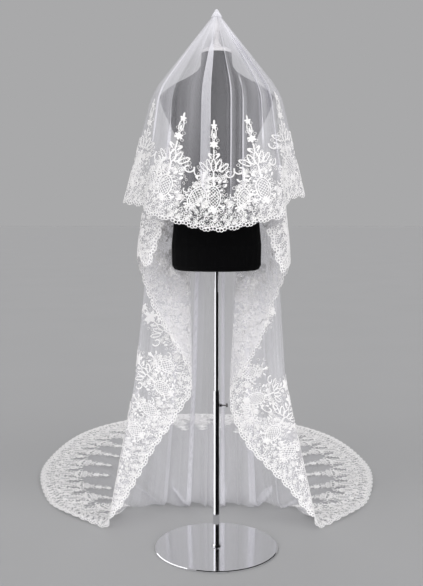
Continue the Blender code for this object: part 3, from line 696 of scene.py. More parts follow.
@dataclass(frozen=True)
class LacqueredWood:
    """Turned wood under white satin lacquer: smooth and pale, with a soft highlight."""

    colour: str = "#F3F1F2"
    shade: str = "#E6E3E4"
    grain_mm: float = 4.17

    def make(self) -> Material:
        """Builds the material, with a faint grain of 2 mm rings, light and dark, under the lacquer.

        Returns:
            The material.
        """
        material, tree, _ = shader_of("White lacquered turned wood", {
            "Roughness": 0.38, "IOR": 1.5, "Coat Weight": 0.3, "Coat Roughness": 0.2})
        place = add_node(tree, "ShaderNodeTexCoord")
        drawn = add_node(tree, "ShaderNodeMapping", {}, {"Vector": place.outputs["Object"],
                                                         "Scale": (1.0, 1.0, 0.15)})
        mottle(tree, drawn.outputs[0], self.grain_mm, 3.0, (self.colour, self.shade))
        return material


@dataclass(frozen=True)
class StudioPaper:
    """Plain grey paper for the floor."""

    colour: str = "#B1B1B2"
    shade: str = "#B5B5B6"
    cloud_mm: float = 769.0

    def make(self) -> Material:
        """Builds the material, with the paper's faint unevenness.

        Returns:
            The material.
        """
        material, tree, _ = shader_of("Grey studio paper", {"Roughness": 0.9,
                                                            "Specular IOR Level": 0.1})
        place = add_node(tree, "ShaderNodeTexCoord")
        mottle(tree, place.outputs["Object"], self.cloud_mm, 2.0, (self.colour, self.shade))
        return material


class Stitch(Enum):
    """How a stitch is raised from the net: its height and that of its edge, in millimetres."""

    CORD = (1.5, 0.3)
    FINE_CORD = (0.9, 0.2)
    SATIN = (1.2, 0.3)
    NET = (0.5, 0.1)


@dataclass
class Needlework:
    """Stitches drawn flat, in millimetres along the hem, up from it and out from the cloth."""

    points: list[np.ndarray] = field(default_factory=list)
    faces: list[tuple[int, ...]] = field(default_factory=list)
    count: int = 0

    def add(self, points: np.ndarray, faces: list[tuple[int, ...]]) -> None:
        """Adds points and the faces between them.

        Args:
            points: the new points.
            faces: the faces, numbered from the first new point.
        """
        self.faces += [tuple(k + self.count for k in face) for face in faces]
        self.points.append(points)
        self.count += len(points)

    def cord(self, path: np.ndarray, width: float, stitch: Stitch = Stitch.CORD,
             closed: bool = False) -> None:
        """Couches a cord along a path.

        Args:
            path: points along it.
            width: its width.
            stitch: how it is raised.
            closed: whether it returns to its start.
        """
        if closed:
            way = np.roll(path, -1, axis=0) - np.roll(path, 1, axis=0)
        else:
            way = np.gradient(path, axis=0)
        way = unit(way)
        side = np.stack([-way[:, 1], way[:, 0]], axis=1) * width / 2
        top, edge = stitch.value
        count = len(path)
        rails = [np.column_stack([line, np.full(count, height)])
                 for line, height in ((path + side, edge), (path, top), (path - side, edge))]
        faces = [(rail + k, rail + (k + 1) % count, rail + count + (k + 1) % count, rail + count + k)
                 for k in range(count if closed else count - 1) for rail in (0, count)]
        self.add(np.concatenate(rails), faces)

    def ring(self, at: tuple[float, float], size: tuple[float, float], turn: float, width: float,
             stitch: Stitch = Stitch.CORD, steps: int = 12) -> None:
        """An oval loop of cord, turned by an angle in degrees."""
        angle = np.arange(steps) * math.tau / steps
        self.cord(self.placed(np.stack([size[0] * np.cos(angle), size[1] * np.sin(angle)], axis=1),
                              at, turn), width, stitch, closed=True)

    def petal(self, at: tuple[float, float], turn: float, length: float, width: float) -> None:
        """Fills a satin-stitched petal.

        Args:
            at: the point that it grows from.
            turn: the angle that it grows towards, in degrees.
            length: its length.
            width: its greatest width.
        """
        t = np.array([0.0, 0.25, 0.55, 0.85, 1.0])
        half = width / 2 * np.array([0.25, 0.75, 1.0, 0.7, 0.0])
        outline = np.concatenate([np.stack([t * length, half], axis=1),
                                  np.stack([t[-2::-1] * length, -half[-2::-1]], axis=1)])
        top, edge = Stitch.SATIN.value
        rim = self.placed(outline, at, turn)
        middle = self.placed(np.array([[0.5 * length, 0.0]]), at, turn)
        points = np.concatenate([np.column_stack([rim, np.full(len(rim), edge)]),
                                 np.column_stack([middle, [top]])])
        count = len(rim)
        self.add(points, [(k, (k + 1) % count, count) for k in range(count)])

    def flower(self, at: tuple[float, float], radius: float, petals: int = 5,
               turn: float = 90.0) -> None:
        """A small open flower with a raised eye."""
        for k in range(petals):
            self.petal(at, turn + 360 * k / petals, radius, radius * 3.4 / petals)
        self.ring(at, (radius * 0.2, radius * 0.2), 0, radius * 0.35, steps=6)

    def open_flower(self, at: tuple[float, float], radius: float, petals: int = 5,
                    turn: float = 90.0) -> None:
        """Couches a flower of corded loops round a raised eye.

        Args:
            at: its middle.
            radius: its radius.
            petals: how many loops it has.
            turn: the angle of the first, in degrees.
        """
        for k in range(petals):
            angle = turn + 360 * k / petals
            reach, out = math.radians(angle), 0.62 * radius
            middle = (at[0] + out * math.cos(reach), at[1] + out * math.sin(reach))
            self.ring(middle, (0.38 * radius, 1.15 * radius / petals), angle, 1.9, steps=6)
        self.ring(at, (radius * 0.14, radius * 0.14), 0, 1.8, steps=5)

    def net(self, at: tuple[float, float], size: tuple[float, float], pitch: float,
            width: float) -> None:
        """Fills an oval with a slanted net.

        Args:
            at: the oval's middle.
            size: its half width and half height.
            pitch: distance between threads.
            width: width of a thread.
        """
        reach = max(size)
        for slope in (1.0, -1.0):
            for offset in np.arange(-2 * reach, 2 * reach, pitch * math.sqrt(2)):
                t = np.linspace(-reach, reach, 15)
                line = np.stack([t, slope * t + offset], axis=1)
                line = line[(line[:, 0] / size[0]) ** 2 + (line[:, 1] / size[1]) ** 2 < 1.0]
                if len(line) > 2:
                    self.cord(line[[0, len(line) // 2, -1]] + np.array(at), width, Stitch.NET)

    def scroll(self, at: tuple[float, float], radius: float, start: float, sweep: float,
               width: float, tighten: float = 0.55) -> None:
        """Couches a cord that curls in on itself.

        Args:
            at: the middle of the curl.
            radius: its radius at the start.
            start: the angle at the start, in degrees.
            sweep: how far it turns, in degrees.
            width: the cord's width.
            tighten: share of the radius that is gone at the end.
        """
        t = np.linspace(0, 1, 14)
        angle = np.radians(start + sweep * t)
        size = radius * (1 - tighten * t)
        self.cord(np.stack([at[0] + size * np.cos(angle), at[1] + size * np.sin(angle)], axis=1),
                  width)

    @staticmethod
    def placed(shape: np.ndarray, at: tuple[float, float], turn: float) -> np.ndarray:
        """A flat shape turned by an angle in degrees and moved to a point."""
        c, s = math.cos(math.radians(turn)), math.sin(math.radians(turn))
        return np.stack([shape[:, 0] * c - shape[:, 1] * s + at[0],
                         shape[:, 0] * s + shape[:, 1] * c + at[1]], axis=1)

    def flat(self) -> np.ndarray:
        """All points so far."""
        return np.concatenate(self.points)


# Half width of the closely worked ground at each height over the hem, in millimetres.
SPIRE_OUTLINE = ((0, 85), (58, 85), (66, 46), (118, 40), (138, 26), (160, 50), (188, 46), (206, 12),
                 (228, 5), (240, 14), (262, 13), (272, 6), (300, 6), (312, 0))
WIDE_OUTLINE = ((0, 85), (58, 85), (66, 50), (118, 44), (138, 32), (160, 52), (188, 48), (206, 32),
                (228, 28), (240, 34), (262, 30), (280, 23), (300, 16), (312, 6))
SMALL_OUTLINE = ((0, 85), (58, 85), (66, 42), (104, 38), (124, 24), (144, 12), (166, 0))


class Oval(NamedTuple):
    """An oval on the lace: its middle's height over the hem, half width and half height."""

    up: float
    half: float
    tall: float


SPIRE_OVAL = Oval(96.0, 19.0, 32.0)
SMALL_OVAL = Oval(92.0, 18.0, 30.0)


@dataclass(frozen=True)
class LacePattern:
    """The border's repeat: edge loops, flower band, fine ground, a tall spire and a smaller motif.

    Places and sizes in its draw methods are in millimetres, along the hem from the spire's middle
    and up from the hem, and angles in degrees.
    """

    repeat: float = 170.0
    spire_height: float = 312.0
    scallop: float = 42.5
    scallop_depth: float = 8.0
    loop_pitch: float = 9.44
    ground_pitch: float = 12.0
    ground_steps: int = 6
    ground_share: float = 0.8
    spire_outline: tuple = SPIRE_OUTLINE
    bloom: float = 0.85
    seed: int = 7

    def hem_edge(self, x: np.ndarray) -> np.ndarray:
        """Height of the scalloped edge over the hem line."""
        return self.scallop_depth * (1 - np.abs(np.sin(math.pi * x / self.scallop)))

    def draw_edge(self, work: Needlework) -> None:
        """Draws two rows of small loops along the scallops, with a cord between them.

        Args:
            work: where it is drawn.
        """
        dice = np.random.default_rng(self.seed + 2)
        for k in range(int(round(self.repeat / self.loop_pitch))):
            x = (k + 0.5) * self.loop_pitch - self.repeat / 2
            foot = float(self.hem_edge(np.array([x]))[0])
            tall = dice.uniform(3.4, 5.0)
            work.ring((x, foot + tall - 0.3), (4.9, tall), dice.uniform(-12, 12),
                      2.7 * self.bloom ** 0.6, steps=9)
            work.ring((x + self.loop_pitch / 2 + dice.uniform(-1.6, 1.6),
                       foot + 14.4 + dice.uniform(-1.4, 1.4)), (4.2, dice.uniform(2.4, 4.2)),
                      dice.uniform(-40, 40), 1.9, steps=8)
        x = np.linspace(-self.repeat / 2, self.repeat / 2, 45)
        work.cord(np.stack([x, self.hem_edge(x) + 9.6 + 1.1 * np.sin(x / 2.7)], axis=1), 2.2)

    def draw_band(self, work: Needlework) -> None:
        """Draws flowers, curls and leaves packed close above the edge.

        Args:
            work: where they are drawn.
        """
        dice = np.random.default_rng(self.seed)
        for row, up in enumerate((24.0, 35.0, 47.0, 59.0)):
            count = 7 - row // 2
            for k in range(count):
                x = (k + 0.5 * (row % 2) + 0.25) * self.repeat / count - self.repeat / 2
                at = (x + dice.uniform(-2.5, 2.5), up + dice.uniform(-2.5, 2.5))
                if (k + 2 * row) % 5 < 2:
                    work.open_flower(at, dice.uniform(8.0, 10.0), 5, dice.uniform(0, 72))
                else:
                    work.scroll(at, dice.uniform(6.5, 8.5), dice.uniform(0, 360),
                                float(dice.choice((-1, 1))) * 420, 2.1, 0.75)
                lean = dice.uniform(20, 160)
                work.petal((at[0] + 6, at[1] + 5), lean, 10, 3.6)

    def on_ground(self, x: float, y: float) -> bool:
        """Whether the closely worked ground covers a place, outside the netted ovals.

        Args:
            x: distance along the hem from the spire's middle.
            y: height over the hem.

        Returns:
            True where it does.
        """
        half = self.repeat / 2
        motifs = ((self.spire_outline, 0.0, SPIRE_OVAL), (SMALL_OUTLINE, half, SMALL_OVAL),
                  (SMALL_OUTLINE, -half, SMALL_OVAL))
        if any(((x - middle) / oval.half) ** 2 + ((y - oval.up) / oval.tall) ** 2 < 1
               for _, middle, oval in motifs):
            return False
        return any(abs(x - middle) < np.interp(y, *zip(*outline), right=-1)
                   for outline, middle, _ in motifs)

    def draw_ground(self, work: Needlework) -> None:
        """Draws the fine cord that fills the space between the motifs.

        Args:
            work: where it is drawn.
        """
        dice = np.random.default_rng(self.seed + 1)
        half = self.repeat / 2
        for row, up in enumerate(np.arange(20.0, self.spire_height - 4, self.ground_pitch * 0.9)):
            for across in np.arange(-half, half, self.ground_pitch):
                x = across + (row % 2) * self.ground_pitch / 2 + dice.uniform(-1.4, 1.4)
                y = up + dice.uniform(-1.4, 1.4)
                if self.on_ground(x, y) and dice.random() < self.ground_share:
                    size = dice.uniform(3.6, 4.9)
                    work.ring((x, y), (size, size * dice.uniform(0.7, 1.0)), dice.uniform(0, 180),
                              1.35, Stitch.FINE_CORD, steps=self.ground_steps)

    def draw_medallion(self, work: Needlework, x: float, oval: Oval) -> None:
        """Draws an oval filled with net inside two cords, with a rim of petals.

        Args:
            work: where it is drawn.
            x: distance along the hem to its middle.
            oval: its height over the hem and its size.
        """
        up, half, tall = oval
        work.net((x, up), (half, tall), 6.5, 1.7)
        work.ring((x, up), (half, tall), 0, 3.2, steps=24)
        work.ring((x, up), (half * 0.72, tall * 0.78), 0, 2.0, Stitch.FINE_CORD, steps=20)
        petals = 15
        for k in range(petals):
            angle = math.tau * (k + 0.5) / petals
            foot = (x + (half + 1.5) * math.cos(angle), up + (tall + 1.5) * math.sin(angle))
            turn = math.degrees(math.atan2(math.sin(angle) / tall, math.cos(angle) / half))
            if k % 2:
                work.petal(foot, turn, 10.0, 6.4)
            else:
                out = math.radians(turn)
                work.ring((foot[0] + 5 * math.cos(out), foot[1] + 5 * math.sin(out)), (5.4, 3.6),
                          turn, 1.9, steps=7)

    def draw_spire(self, work: Needlework) -> None:
        """Draws the tall motif, from its netted oval up to the flower at its tip.

        Args:
            work: where it is drawn.
        """
        top = self.spire_height
        self.draw_medallion(work, 0, SPIRE_OVAL)
        work.flower((0, 62), 12, 6)
        for side in (-1, 1):
            for up, out, turn, length in ((66, 22, 35, 16), (84, 31, 55, 14), (70, 38, 10, 15),
                                          (136, 12, 50, 15), (141, 24, 20, 13), (126, 30, 60, 13)):
                angle = turn if side > 0 else 180 - turn
                work.petal((side * out, up), angle, length, 7.5)
            work.open_flower((side * 44, 84), 10.5, 5, 20 * side)
            work.ring((side * 13, 187), (5.4, 17), -18 * side, 3.4, steps=16)
            work.ring((side * 28, 182), (5.4, 16), -44 * side, 3.4, steps=16)
            work.scroll((side * 43, 166), 14.0, 90 - 60 * side, -300 * side, 4.2)
            work.open_flower((side * 30, 156), 9.5, 5, 15 * side)
            work.open_flower((side * 14, 150), 9.0, 5, 40)
            work.petal((side * 5, 205), 90 - 38 * side, 19, 6)
            work.petal((side * 4, 216), 90 - 64 * side, 13, 5)
        work.ring((0, 186), (5.6, 17), 0, 3.2, steps=18)
        work.cord(np.array([[0, 128], [0.6, 145], [0, 170]], float), 4.4)
        work.open_flower((0, 147), 11, 6)
        work.cord(np.array([[0, 203], [0.4, 218], [0, 232]], float), 3.6)
        work.flower((0, top - 66), 14.5 * self.bloom, 6)
        work.flower((0, top - 66), 8.5, 5, 60)
        work.ring((0, top - 35), (5.8, 17), 0, 3.2, steps=18)
        work.petal((0, top - 48), 90, 16, 6)
        work.flower((0, top - 12), 10.5 * self.bloom, 5)
        work.petal((0, top - 12), 90, 18, 6)

    def draw_small(self, work: Needlework) -> None:
        """Draws the lower pear-shaped motif between two spires.

        Args:
            work: where it is drawn.
        """
        x = self.repeat / 2
        self.draw_medallion(work, x, SMALL_OVAL)
        work.open_flower((x, 138), 12, 6)
        work.petal((x, 142), 90, 22, 7)
        work.flower((x, 160), 7.5, 5)
        for side in (-1, 1):
            work.open_flower((x + side * 15, 126), 9, 5, 10)
            work.open_flower((x + side * 34, 78), 10, 5, 30)
            work.petal((x + side * 12, 140), 90 - 40 * side, 14, 6)
            work.scroll((x + side * 30, 104), 9, 90 - 60 * side, -270 * side, 3.0)

    def drawn(self) -> Needlework:
        """Draws one whole repeat.

        Returns:
            The needlework.
        """
        work = Needlework()
        for draw in (self.draw_edge, self.draw_ground, self.draw_band, self.draw_spire,
                     self.draw_small):
            draw(work)
        return work


@dataclass
class Border:
    """The hem of a tier, laid out flat, with the way from the flat to the draped cloth.

    upright says that the lace's motifs follow the columns up, as on the short tier, and lean towards
    the middle; otherwise they stand square to the hem. out is the lace's height over the cloth, and
    blend the heights between which a motif passes from the hem's own places to its own middle.
    """

    tier: Tier
    upright: bool
    out: float = 0.0012
    lean: float = 0.24
    lean_reach: float = 0.13
    blend: tuple[float, float] = (0.020, 0.090)
    hem_band: float = 0.02
    even_step: float = 0.004
    smoothing: int = 20
    closest: float = 0.8
    widest: float = 2.4
    width: np.ndarray = field(init=False)
    along: np.ndarray = field(init=False)
    inward: np.ndarray = field(init=False)
    tangent: np.ndarray = field(init=False)

    def __post_init__(self) -> None:
        """Measures the hem and the direction square to it in the flat cloth."""
        tier = self.tier
        points = tier.read(tier.plain, tier.rows, tier.hem)
        above = tier.read(tier.plain, tier.rows, tier.hem - self.hem_band)
        down = unit(points - above)
        step = np.gradient(points, axis=0)
        across = step - np.sum(step * down, axis=1, keepdims=True) * down
        self.width = running_total(np.maximum(np.linalg.norm(across, axis=1), LEAST_STEP))
        drop, run = np.gradient(tier.hem), np.gradient(self.width)
        length = np.hypot(run, drop)
        self.along = running_total(length)
        even = np.arange(0, self.along[-1], self.even_step)
        slope = np.stack([np.interp(even, self.along, drop / length),
                          np.interp(even, self.along, -run / length)], axis=1)
        kernel = np.hanning(2 * self.smoothing + 1)
        kernel = kernel / kernel.sum()
        padded = np.pad(slope, ((self.smoothing, self.smoothing), (0, 0)), mode="edge")
        slope = unit(np.stack([np.convolve(padded[:, k], kernel, mode="valid") for k in range(2)],
                              axis=1))
        self.inward = np.stack([np.interp(self.along, even, slope[:, k]) for k in range(2)], axis=1)
        self.tangent = np.stack([-self.inward[:, 1], self.inward[:, 0]], axis=1)
        if self.upright:
            aside = (self.width[-1] / 2 - self.width) / self.lean_reach
            self.inward = np.stack([self.lean * np.clip(aside, -1, 1), np.full(len(aside), -1.0)],
                                   axis=1)

    def length_at(self, row: float) -> float:
        """Distance along the hem to a row of the tier's table."""
        return float(np.interp(row, self.tier.rows, self.along))

    def read_hem(self, s: np.ndarray, values: np.ndarray) -> np.ndarray:
        """Values kept for each fine column, read at distances along the hem."""
        return np.interp(s, self.along, values)

    def gathering(self, across: np.ndarray, down: np.ndarray, hem_row: float,
                  hem_down: float) -> np.ndarray:
        """How many times closer the columns run at a place than at the hem under it.

        Args:
            across: distances across the flat cloth.
            down: distances down from the head.
            hem_row: row of the table where the hem is read.
            hem_down: distance down to the hem there.

        Returns:
            The ratio, kept between the closest and widest that lace can follow.
        """
        rows = np.interp(across, self.width, self.tier.rows)
        spread = self.tier.spread[..., None]
        here = self.tier.read(spread, rows, down)[..., 0]
        at_hem = self.tier.read(spread, np.array([hem_row]), np.array([hem_down]))[0, 0]
        return np.clip(at_hem / np.maximum(here, LEAST_SPACING), self.closest, self.widest)

    def place(self, flat: np.ndarray, axis: float) -> tuple[np.ndarray, np.ndarray]:
        """Lays flat needlework on the cloth, at its true width.

        Near the hem each point goes straight in from its own place on the hem. Further in, a motif
        is drawn out from the line that goes in from its own middle, so that it keeps its shape where
        the cloth is gathered.

        Args:
            flat: distance along the hem from the motif's middle, up and out from the cloth, in
                metres.
            axis: distance along the hem to the motif's middle.

        Returns:
            The points in space, and which of them lie on the cloth.
        """
        x, up, out = flat.T
        s = axis + x
        hem, inward = self.tier.hem, self.inward
        near = (self.read_hem(s, self.width) + up * self.read_hem(s, inward[:, 0]),
                self.read_hem(s, hem) + up * self.read_hem(s, inward[:, 1]))
        middle = (self.read_hem(axis, self.width) + up * self.read_hem(axis, inward[:, 0]),
                  self.read_hem(axis, hem) + up * self.read_hem(axis, inward[:, 1]))
        tangent = [self.read_hem(axis, self.tangent[:, k]) for k in range(2)]
        drawn = x * self.gathering(*middle, np.interp(axis, self.along, self.tier.rows),
                                   self.read_hem(axis, hem))
        share = np.clip((up - self.blend[0]) / (self.blend[1] - self.blend[0]), 0, 1)
        across, down = ((1 - share) * near[k] + share * (middle[k] + way * tangent[k])
                        for k, way in ((0, drawn), (1, x)))
        rows = np.interp(across, self.width, self.tier.rows)
        on_cloth = (across >= 0) & (across <= self.width[-1]) & (s >= 0) & (s <= self.along[-1])
        return self.tier.over(rows, down, self.out + out), on_cloth


def link_mesh(name: str, points: np.ndarray, faces: Sequence[Sequence[int]],
              material: Material) -> Object:
    """Makes a smooth-shaded mesh object.

    Args:
        name: the piece's name.
        points: its vertices.
        faces: its faces.
        material: its finish.

    Returns:
        The object, linked to the scene.
    """
    mesh = bpy.data.meshes.new(name)
    mesh.from_pydata(points.tolist(), [], list(faces))
    mesh.materials.append(material)
    mesh.shade_smooth()
    piece = bpy.data.objects.new(name, mesh)
    bpy.context.scene.collection.objects.link(piece)
    return piece


def mark_crowding(piece: Object, values: np.ndarray) -> None:
    """Notes how many times thicker the net lies at each vertex of a piece."""
    layer = piece.data.attributes.new("crowding", "FLOAT", "POINT")
    layer.data.foreach_set("value", values.reshape(-1).astype(np.float32))


@dataclass
class TulleSheet:
    """One sheet of tulle, cut along the scallops of its lace.

    row_ease below 1 sets its rows closer together towards the hem. steepest is how many times
    further up the cut may lie where the hem runs down steeply.
    """

    name: str
    tier: Tier
    border: Border
    pattern: LacePattern
    flat_size: tuple[float, float]
    flat_area: float
    rests_on: list[str]
    replaces: list[str]
    columns: int
    rows: int
    row_ease: float = 0.9
    steepest: float = 3.0

    def build(self, material: Material) -> Object:
        """Makes the sheet.

        Args:
            material: the tulle.

        Returns:
            The piece.
        """
        tier = self.tier
        where = np.linspace(0, len(tier.table) - 1, self.columns)
        hem = np.interp(where, tier.rows, tier.hem)
        s = np.interp(where, tier.rows, self.border.along)
        straight = -np.interp(where, tier.rows, self.border.inward[:, 1])
        steep = 1 / np.maximum(straight, 1 / self.steepest)
        cut = (self.pattern.hem_edge(s * MM_PER_M + self.pattern.repeat / 2) + CUT_MARGIN) / MM_PER_M
        cut = cut * steep
        share = np.linspace(0, 1, self.rows) ** self.row_ease
        down = share[None, :] * (hem - cut)[:, None]
        rows = np.repeat(where[:, None], self.rows, axis=1)
        points = tier.read(tier.points, rows, down)
        points[..., 2] = np.maximum(points[..., 2], FLOOR_GAP)
        index = np.arange(self.columns * self.rows).reshape(self.columns, self.rows)
        quads = np.stack([index[:-1, :-1], index[1:, :-1], index[1:, 1:], index[:-1, 1:]], axis=-1)
        piece = link_mesh(self.name, points.reshape(-1, 3), quads.reshape(-1, 4).tolist(), material)
        self.add_cloth_map(piece, s, down)
        mark_crowding(piece, self.crowding(rows, down))
        return piece

    def add_cloth_map(self, piece: Object, s: np.ndarray, down: np.ndarray) -> None:
        """Maps the sheet in metres, down from the head and across it.

        Across is the distance over the cloth on the map "cloth", so that the net keeps its size, and
        the distance along the hem on the map "fall", so that streaks follow the columns.

        Args:
            piece: the sheet's mesh.
            s: distance along the hem of each column.
            down: distance down from the head of each vertex.
        """
        points = np.empty(len(piece.data.vertices) * 3)
        piece.data.vertices.foreach_get("co", points)
        points = points.reshape(self.columns, self.rows, 3)
        steps = np.linalg.norm(np.diff(points, axis=0), axis=2)
        across = np.concatenate([np.zeros((1, self.rows)), np.cumsum(steps, axis=0)])
        across -= across[self.columns // 2]
        corner = np.empty(len(piece.data.loops), np.int64)
        piece.data.loops.foreach_get("vertex_index", corner)
        for name, wide in (("cloth", across), ("fall", np.repeat(s[:, None], self.rows, axis=1))):
            flat = np.stack([wide.reshape(-1), down.reshape(-1)], axis=1)
            layer = piece.data.uv_layers.new(name=name)
            layer.data.foreach_set("uv", flat[corner].astype(np.float32).ravel())

    def crowding(self, rows: np.ndarray, down: np.ndarray) -> np.ndarray:
        """How many times thicker the net lies where the cloth is gathered or turns over.

        Args:
            rows: fractional rows of the tier's table, for each vertex.
            down: distances down from the head.

        Returns:
            The number for each vertex.
        """
        tier, side = self.tier, FOLD_COLUMNS
        points = tier.read(tier.points, rows, down)
        step = np.linalg.norm(np.gradient(points, axis=0), axis=2)
        wide = np.pad(points, ((side, side), (0, 0), (0, 0)), mode="edge")
        chord = np.linalg.norm(wide[2 * side:] - wide[:-2 * side], axis=2) / (2 * side)
        dense = np.clip(step / np.maximum(chord, LEAST_SPACING), 1.0, MOST_DOUBLED)
        tight = np.clip(OPEN_SPACING / np.maximum(step, LEAST_STEP), 1.0, MOST_GATHERED)
        values = (0.5 + 0.5 * dense) * tight ** GATHER_POWER
        return values * tier.read(tier.gathers, rows, down)[..., 0]


@dataclass
class LaceStretch:
    """One stretch of a lace border, between two places along the hem."""

    name: str
    border: Border
    pattern: LacePattern
    first: float
    last: float
    origin: float
    replaces: list[str]

    def build(self, material: Material) -> Object:
        """Repeats the pattern along the stretch and lays it on the cloth.

        Args:
            material: the lace.

        Returns:
            The piece.
        """
        work = self.pattern.drawn()
        flat = work.flat() / MM_PER_M
        repeat = self.pattern.repeat / MM_PER_M
        first = math.floor((self.first - self.origin) / repeat) - 1
        last = math.ceil((self.last - self.origin) / repeat) + 1
        placed, faces, count = [], [], 0
        for k in range(first, last + 1):
            axis = self.origin + k * repeat
            points, on_cloth = self.border.place(flat, axis)
            on_cloth &= (flat[:, 0] + axis >= self.first) & (flat[:, 0] + axis < self.last)
            if not on_cloth.any():
                continue
            kept = [face for face in work.faces if all(on_cloth[list(face)])]
            faces += [tuple(v + count for v in face) for face in kept]
            placed.append(points)
            count += len(points)
        points = np.concatenate(placed)
        used = np.zeros(len(points), bool)
        used[np.concatenate([np.array(face) for face in faces])] = True
        number = np.cumsum(used) - 1
        faces = [tuple(int(number[v]) for v in face) for face in faces]
        return link_mesh(self.name, points[used], faces, material)


@dataclass
class Veil:
    """Both tiers of tulle with their lace, and the gathered head.

    front_spire is the row of the table where a spire of the front tier stands and its distance from
    there along the hem; tail_spire is the distance along the tail's hem to its first spire.
    """

    front_pattern: LacePattern = LacePattern()
    tail_pattern: LacePattern = LacePattern(ground_pitch=14.0, spire_outline=WIDE_OUTLINE, bloom=1.6)
    front_spire: tuple[float, float] = (7.12, -0.010)
    tail_spire: float = 0.06
    head_low: float = 1.6005
    head_top: float = 1.6240
    head_radius: float = 0.0150
    head_columns: int = 120

    def build(self) -> list[Object]:
        """Builds every piece of cloth.

        Returns:
            The pieces.
        """
        tulle, lace = NylonTulle().make(), CordedLace().make()
        front = Tier(FRONT_COLUMNS, facing=1, ring_radius=0.0148, shoulder_width=0.188,
                     shoulder_depth=0.113, waves=FRONT_WAVES, folds=FRONT_FOLDS, columns=841)
        tail = Tier(TAIL_COLUMNS, facing=-1, ring_radius=0.0112, shoulder_width=0.1815,
                    shoulder_depth=0.105, waves=TAIL_WAVES, folds=TAIL_FOLDS, columns=1121)
        front_hem, tail_hem = Border(front, True), Border(tail, False)
        pieces = [self.head(tulle)]
        pieces += self.tier_pieces(
            TulleSheet("front_tier_tulle", front, front_hem, self.front_pattern,
                       flat_size=(1.30, 0.66), flat_area=0.40, rests_on=["torso"],
                       replaces=["front_tier"], columns=421, rows=90),
            [LaceStretch("front_tier_lace", front_hem, self.front_pattern, 0.0, front_hem.along[-1],
                         front_hem.length_at(self.front_spire[0]) + self.front_spire[1],
                         ["front_lace"])], tulle, lace)
        left, middle, right = (tail_hem.length_at(row)
                               for row in (LEFT_FOLD, TRAIN_MIDDLE, RIGHT_FOLD))
        pieces += self.tier_pieces(
            TulleSheet("tail_tulle", tail, tail_hem, self.tail_pattern, flat_size=(2.6, 3.2),
                       flat_area=3.3, rests_on=["torso"],
                       replaces=["cascade_left", "cascade_right", "tail_fall", "train"],
                       columns=561, rows=136),
            [LaceStretch(name, tail_hem, self.tail_pattern, first, last, self.tail_spire, replaces)
             for name, first, last, replaces in (
                 ("left_cascade_lace", 0.0, left, ["cascade_left_lace"]),
                 ("train_left_lace", left, middle, ["train_lace"]),
                 ("train_right_lace", middle, right, []),
                 ("right_cascade_lace", right, tail_hem.along[-1], ["cascade_right_lace"]))],
            tulle, lace)
        return pieces

    def tier_pieces(self, sheet: TulleSheet, laces: list[LaceStretch], tulle: Material,
                    lace: Material) -> list[Object]:
        """Args:
            sheet: the tulle.
            laces: the stretches of lace sewn to it.
            tulle: finish of the tulle.
            lace: finish of the lace.

        Returns:
            The pieces.
        """
        cloth = sheet.build(tulle)
        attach(cloth, BODY)
        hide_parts(*sheet.replaces)
        borders = []
        for stretch in laces:
            piece = stretch.build(lace)
            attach(piece, BODY)
            if stretch.replaces:
                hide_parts(*stretch.replaces)
            borders.append(piece)
        return [cloth, *borders]

    def head(self, material: Material) -> Object:
        """Makes the gathered and stitched head of both tiers.

        Args:
            material: the tulle.

        Returns:
            The piece.
        """
        segments = self.head_columns
        angle = np.arange(segments) * math.tau / segments
        flutes = 0.5 * np.sin(22 * angle) + 0.3 * np.sin(13 * angle + 1) + 0.2 * np.sin(31 * angle)
        profile = [(1.0, 0.0, 0.05), (1.02, 0.10, 0.07), (0.78, 0.34, 0.12), (0.52, 0.58, 0.16),
                   (0.36, 0.78, 0.20), (0.22, 0.93, 0.16), (0.08, 1.0, 0.05)]
        rings = []
        for radius, share, depth in profile:
            size = self.head_radius * radius * (1 + depth * flutes)
            height = self.head_low + share * (self.head_top - self.head_low)
            rings.append(np.stack([size * np.cos(angle), size * np.sin(angle),
                                   np.full(segments, height)], axis=1))
        faces = [(r * segments + c, r * segments + (c + 1) % segments,
                  (r + 1) * segments + (c + 1) % segments, (r + 1) * segments + c)
                 for r in range(len(rings) - 1) for c in range(segments)]
        faces.append(tuple(range((len(rings) - 1) * segments, len(rings) * segments)))
        piece = link_mesh("gathered_tulle_head", np.concatenate(rings), faces, material)
        mark_crowding(piece, np.full(len(piece.data.vertices), HEAD_CROWDING))
        for name in ("cloth", "fall"):
            piece.data.uv_layers.new(name=name)
        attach(piece, BODY)
        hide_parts("gathered_head")
        return piece


@dataclass
class DressForm:
    """The limbless form, its cap and finial, and the stand under it."""

    finishes: dict[str, object] = field(default_factory=lambda: {
        "torso": CottonJersey(),
        "neck_cap": LacqueredWood(),
        # The finial's lacquer is a touch whiter than the cap's: painted brightening for the light the
        # gathered tulle keeps off it.
        "finial": LacqueredWood("#F6F4F5"),
        "base_plate": ChromePlate("Spun chromed steel plate", "#F0F0F2", 0.06, 0.14,
                                  (111.1, 111.1, 111.1)),
        "base_flange": ChromePlate("Turned chromed steel flange", "#DCDCDF", 0.05, 0.12,
                                   (16.67, 16.67, 111.1)),
        "lower_tube": ChromePlate("Drawn chromed steel tube", "#DEDEE1", 0.03, 0.08,
                                  (11.11, 11.11, 166.7)),
        "upper_tube": ChromePlate("Drawn chromed steel rod", "#DEDEE1", 0.02, 0.06,
                                  (11.11, 11.11, 166.7)),
        "clamp_boss": ChromePlate("Cast chromed clamp boss", "#C9C9CC", 0.12, 0.25,
                                  (5.0, 5.0, 5.0)),
        "clamp_screw": ChromePlate("Nickel-plated steel screw", "#B9B7B4", 0.18, 0.32,
                                   (3.33, 3.33, 3.33)),
    })

    def dress(self, nodes: dict[str, Object]) -> None:
        """Gives each solid that stays in view its finish.

        Args:
            nodes: the solid model's objects by name.
        """
        for name, finish in self.finishes.items():
            material = finish.make()
            solid = nodes[name]
            for place in solid.material_slots:
                place.material = material
            LOG.info("%s: %s", name, material.name)


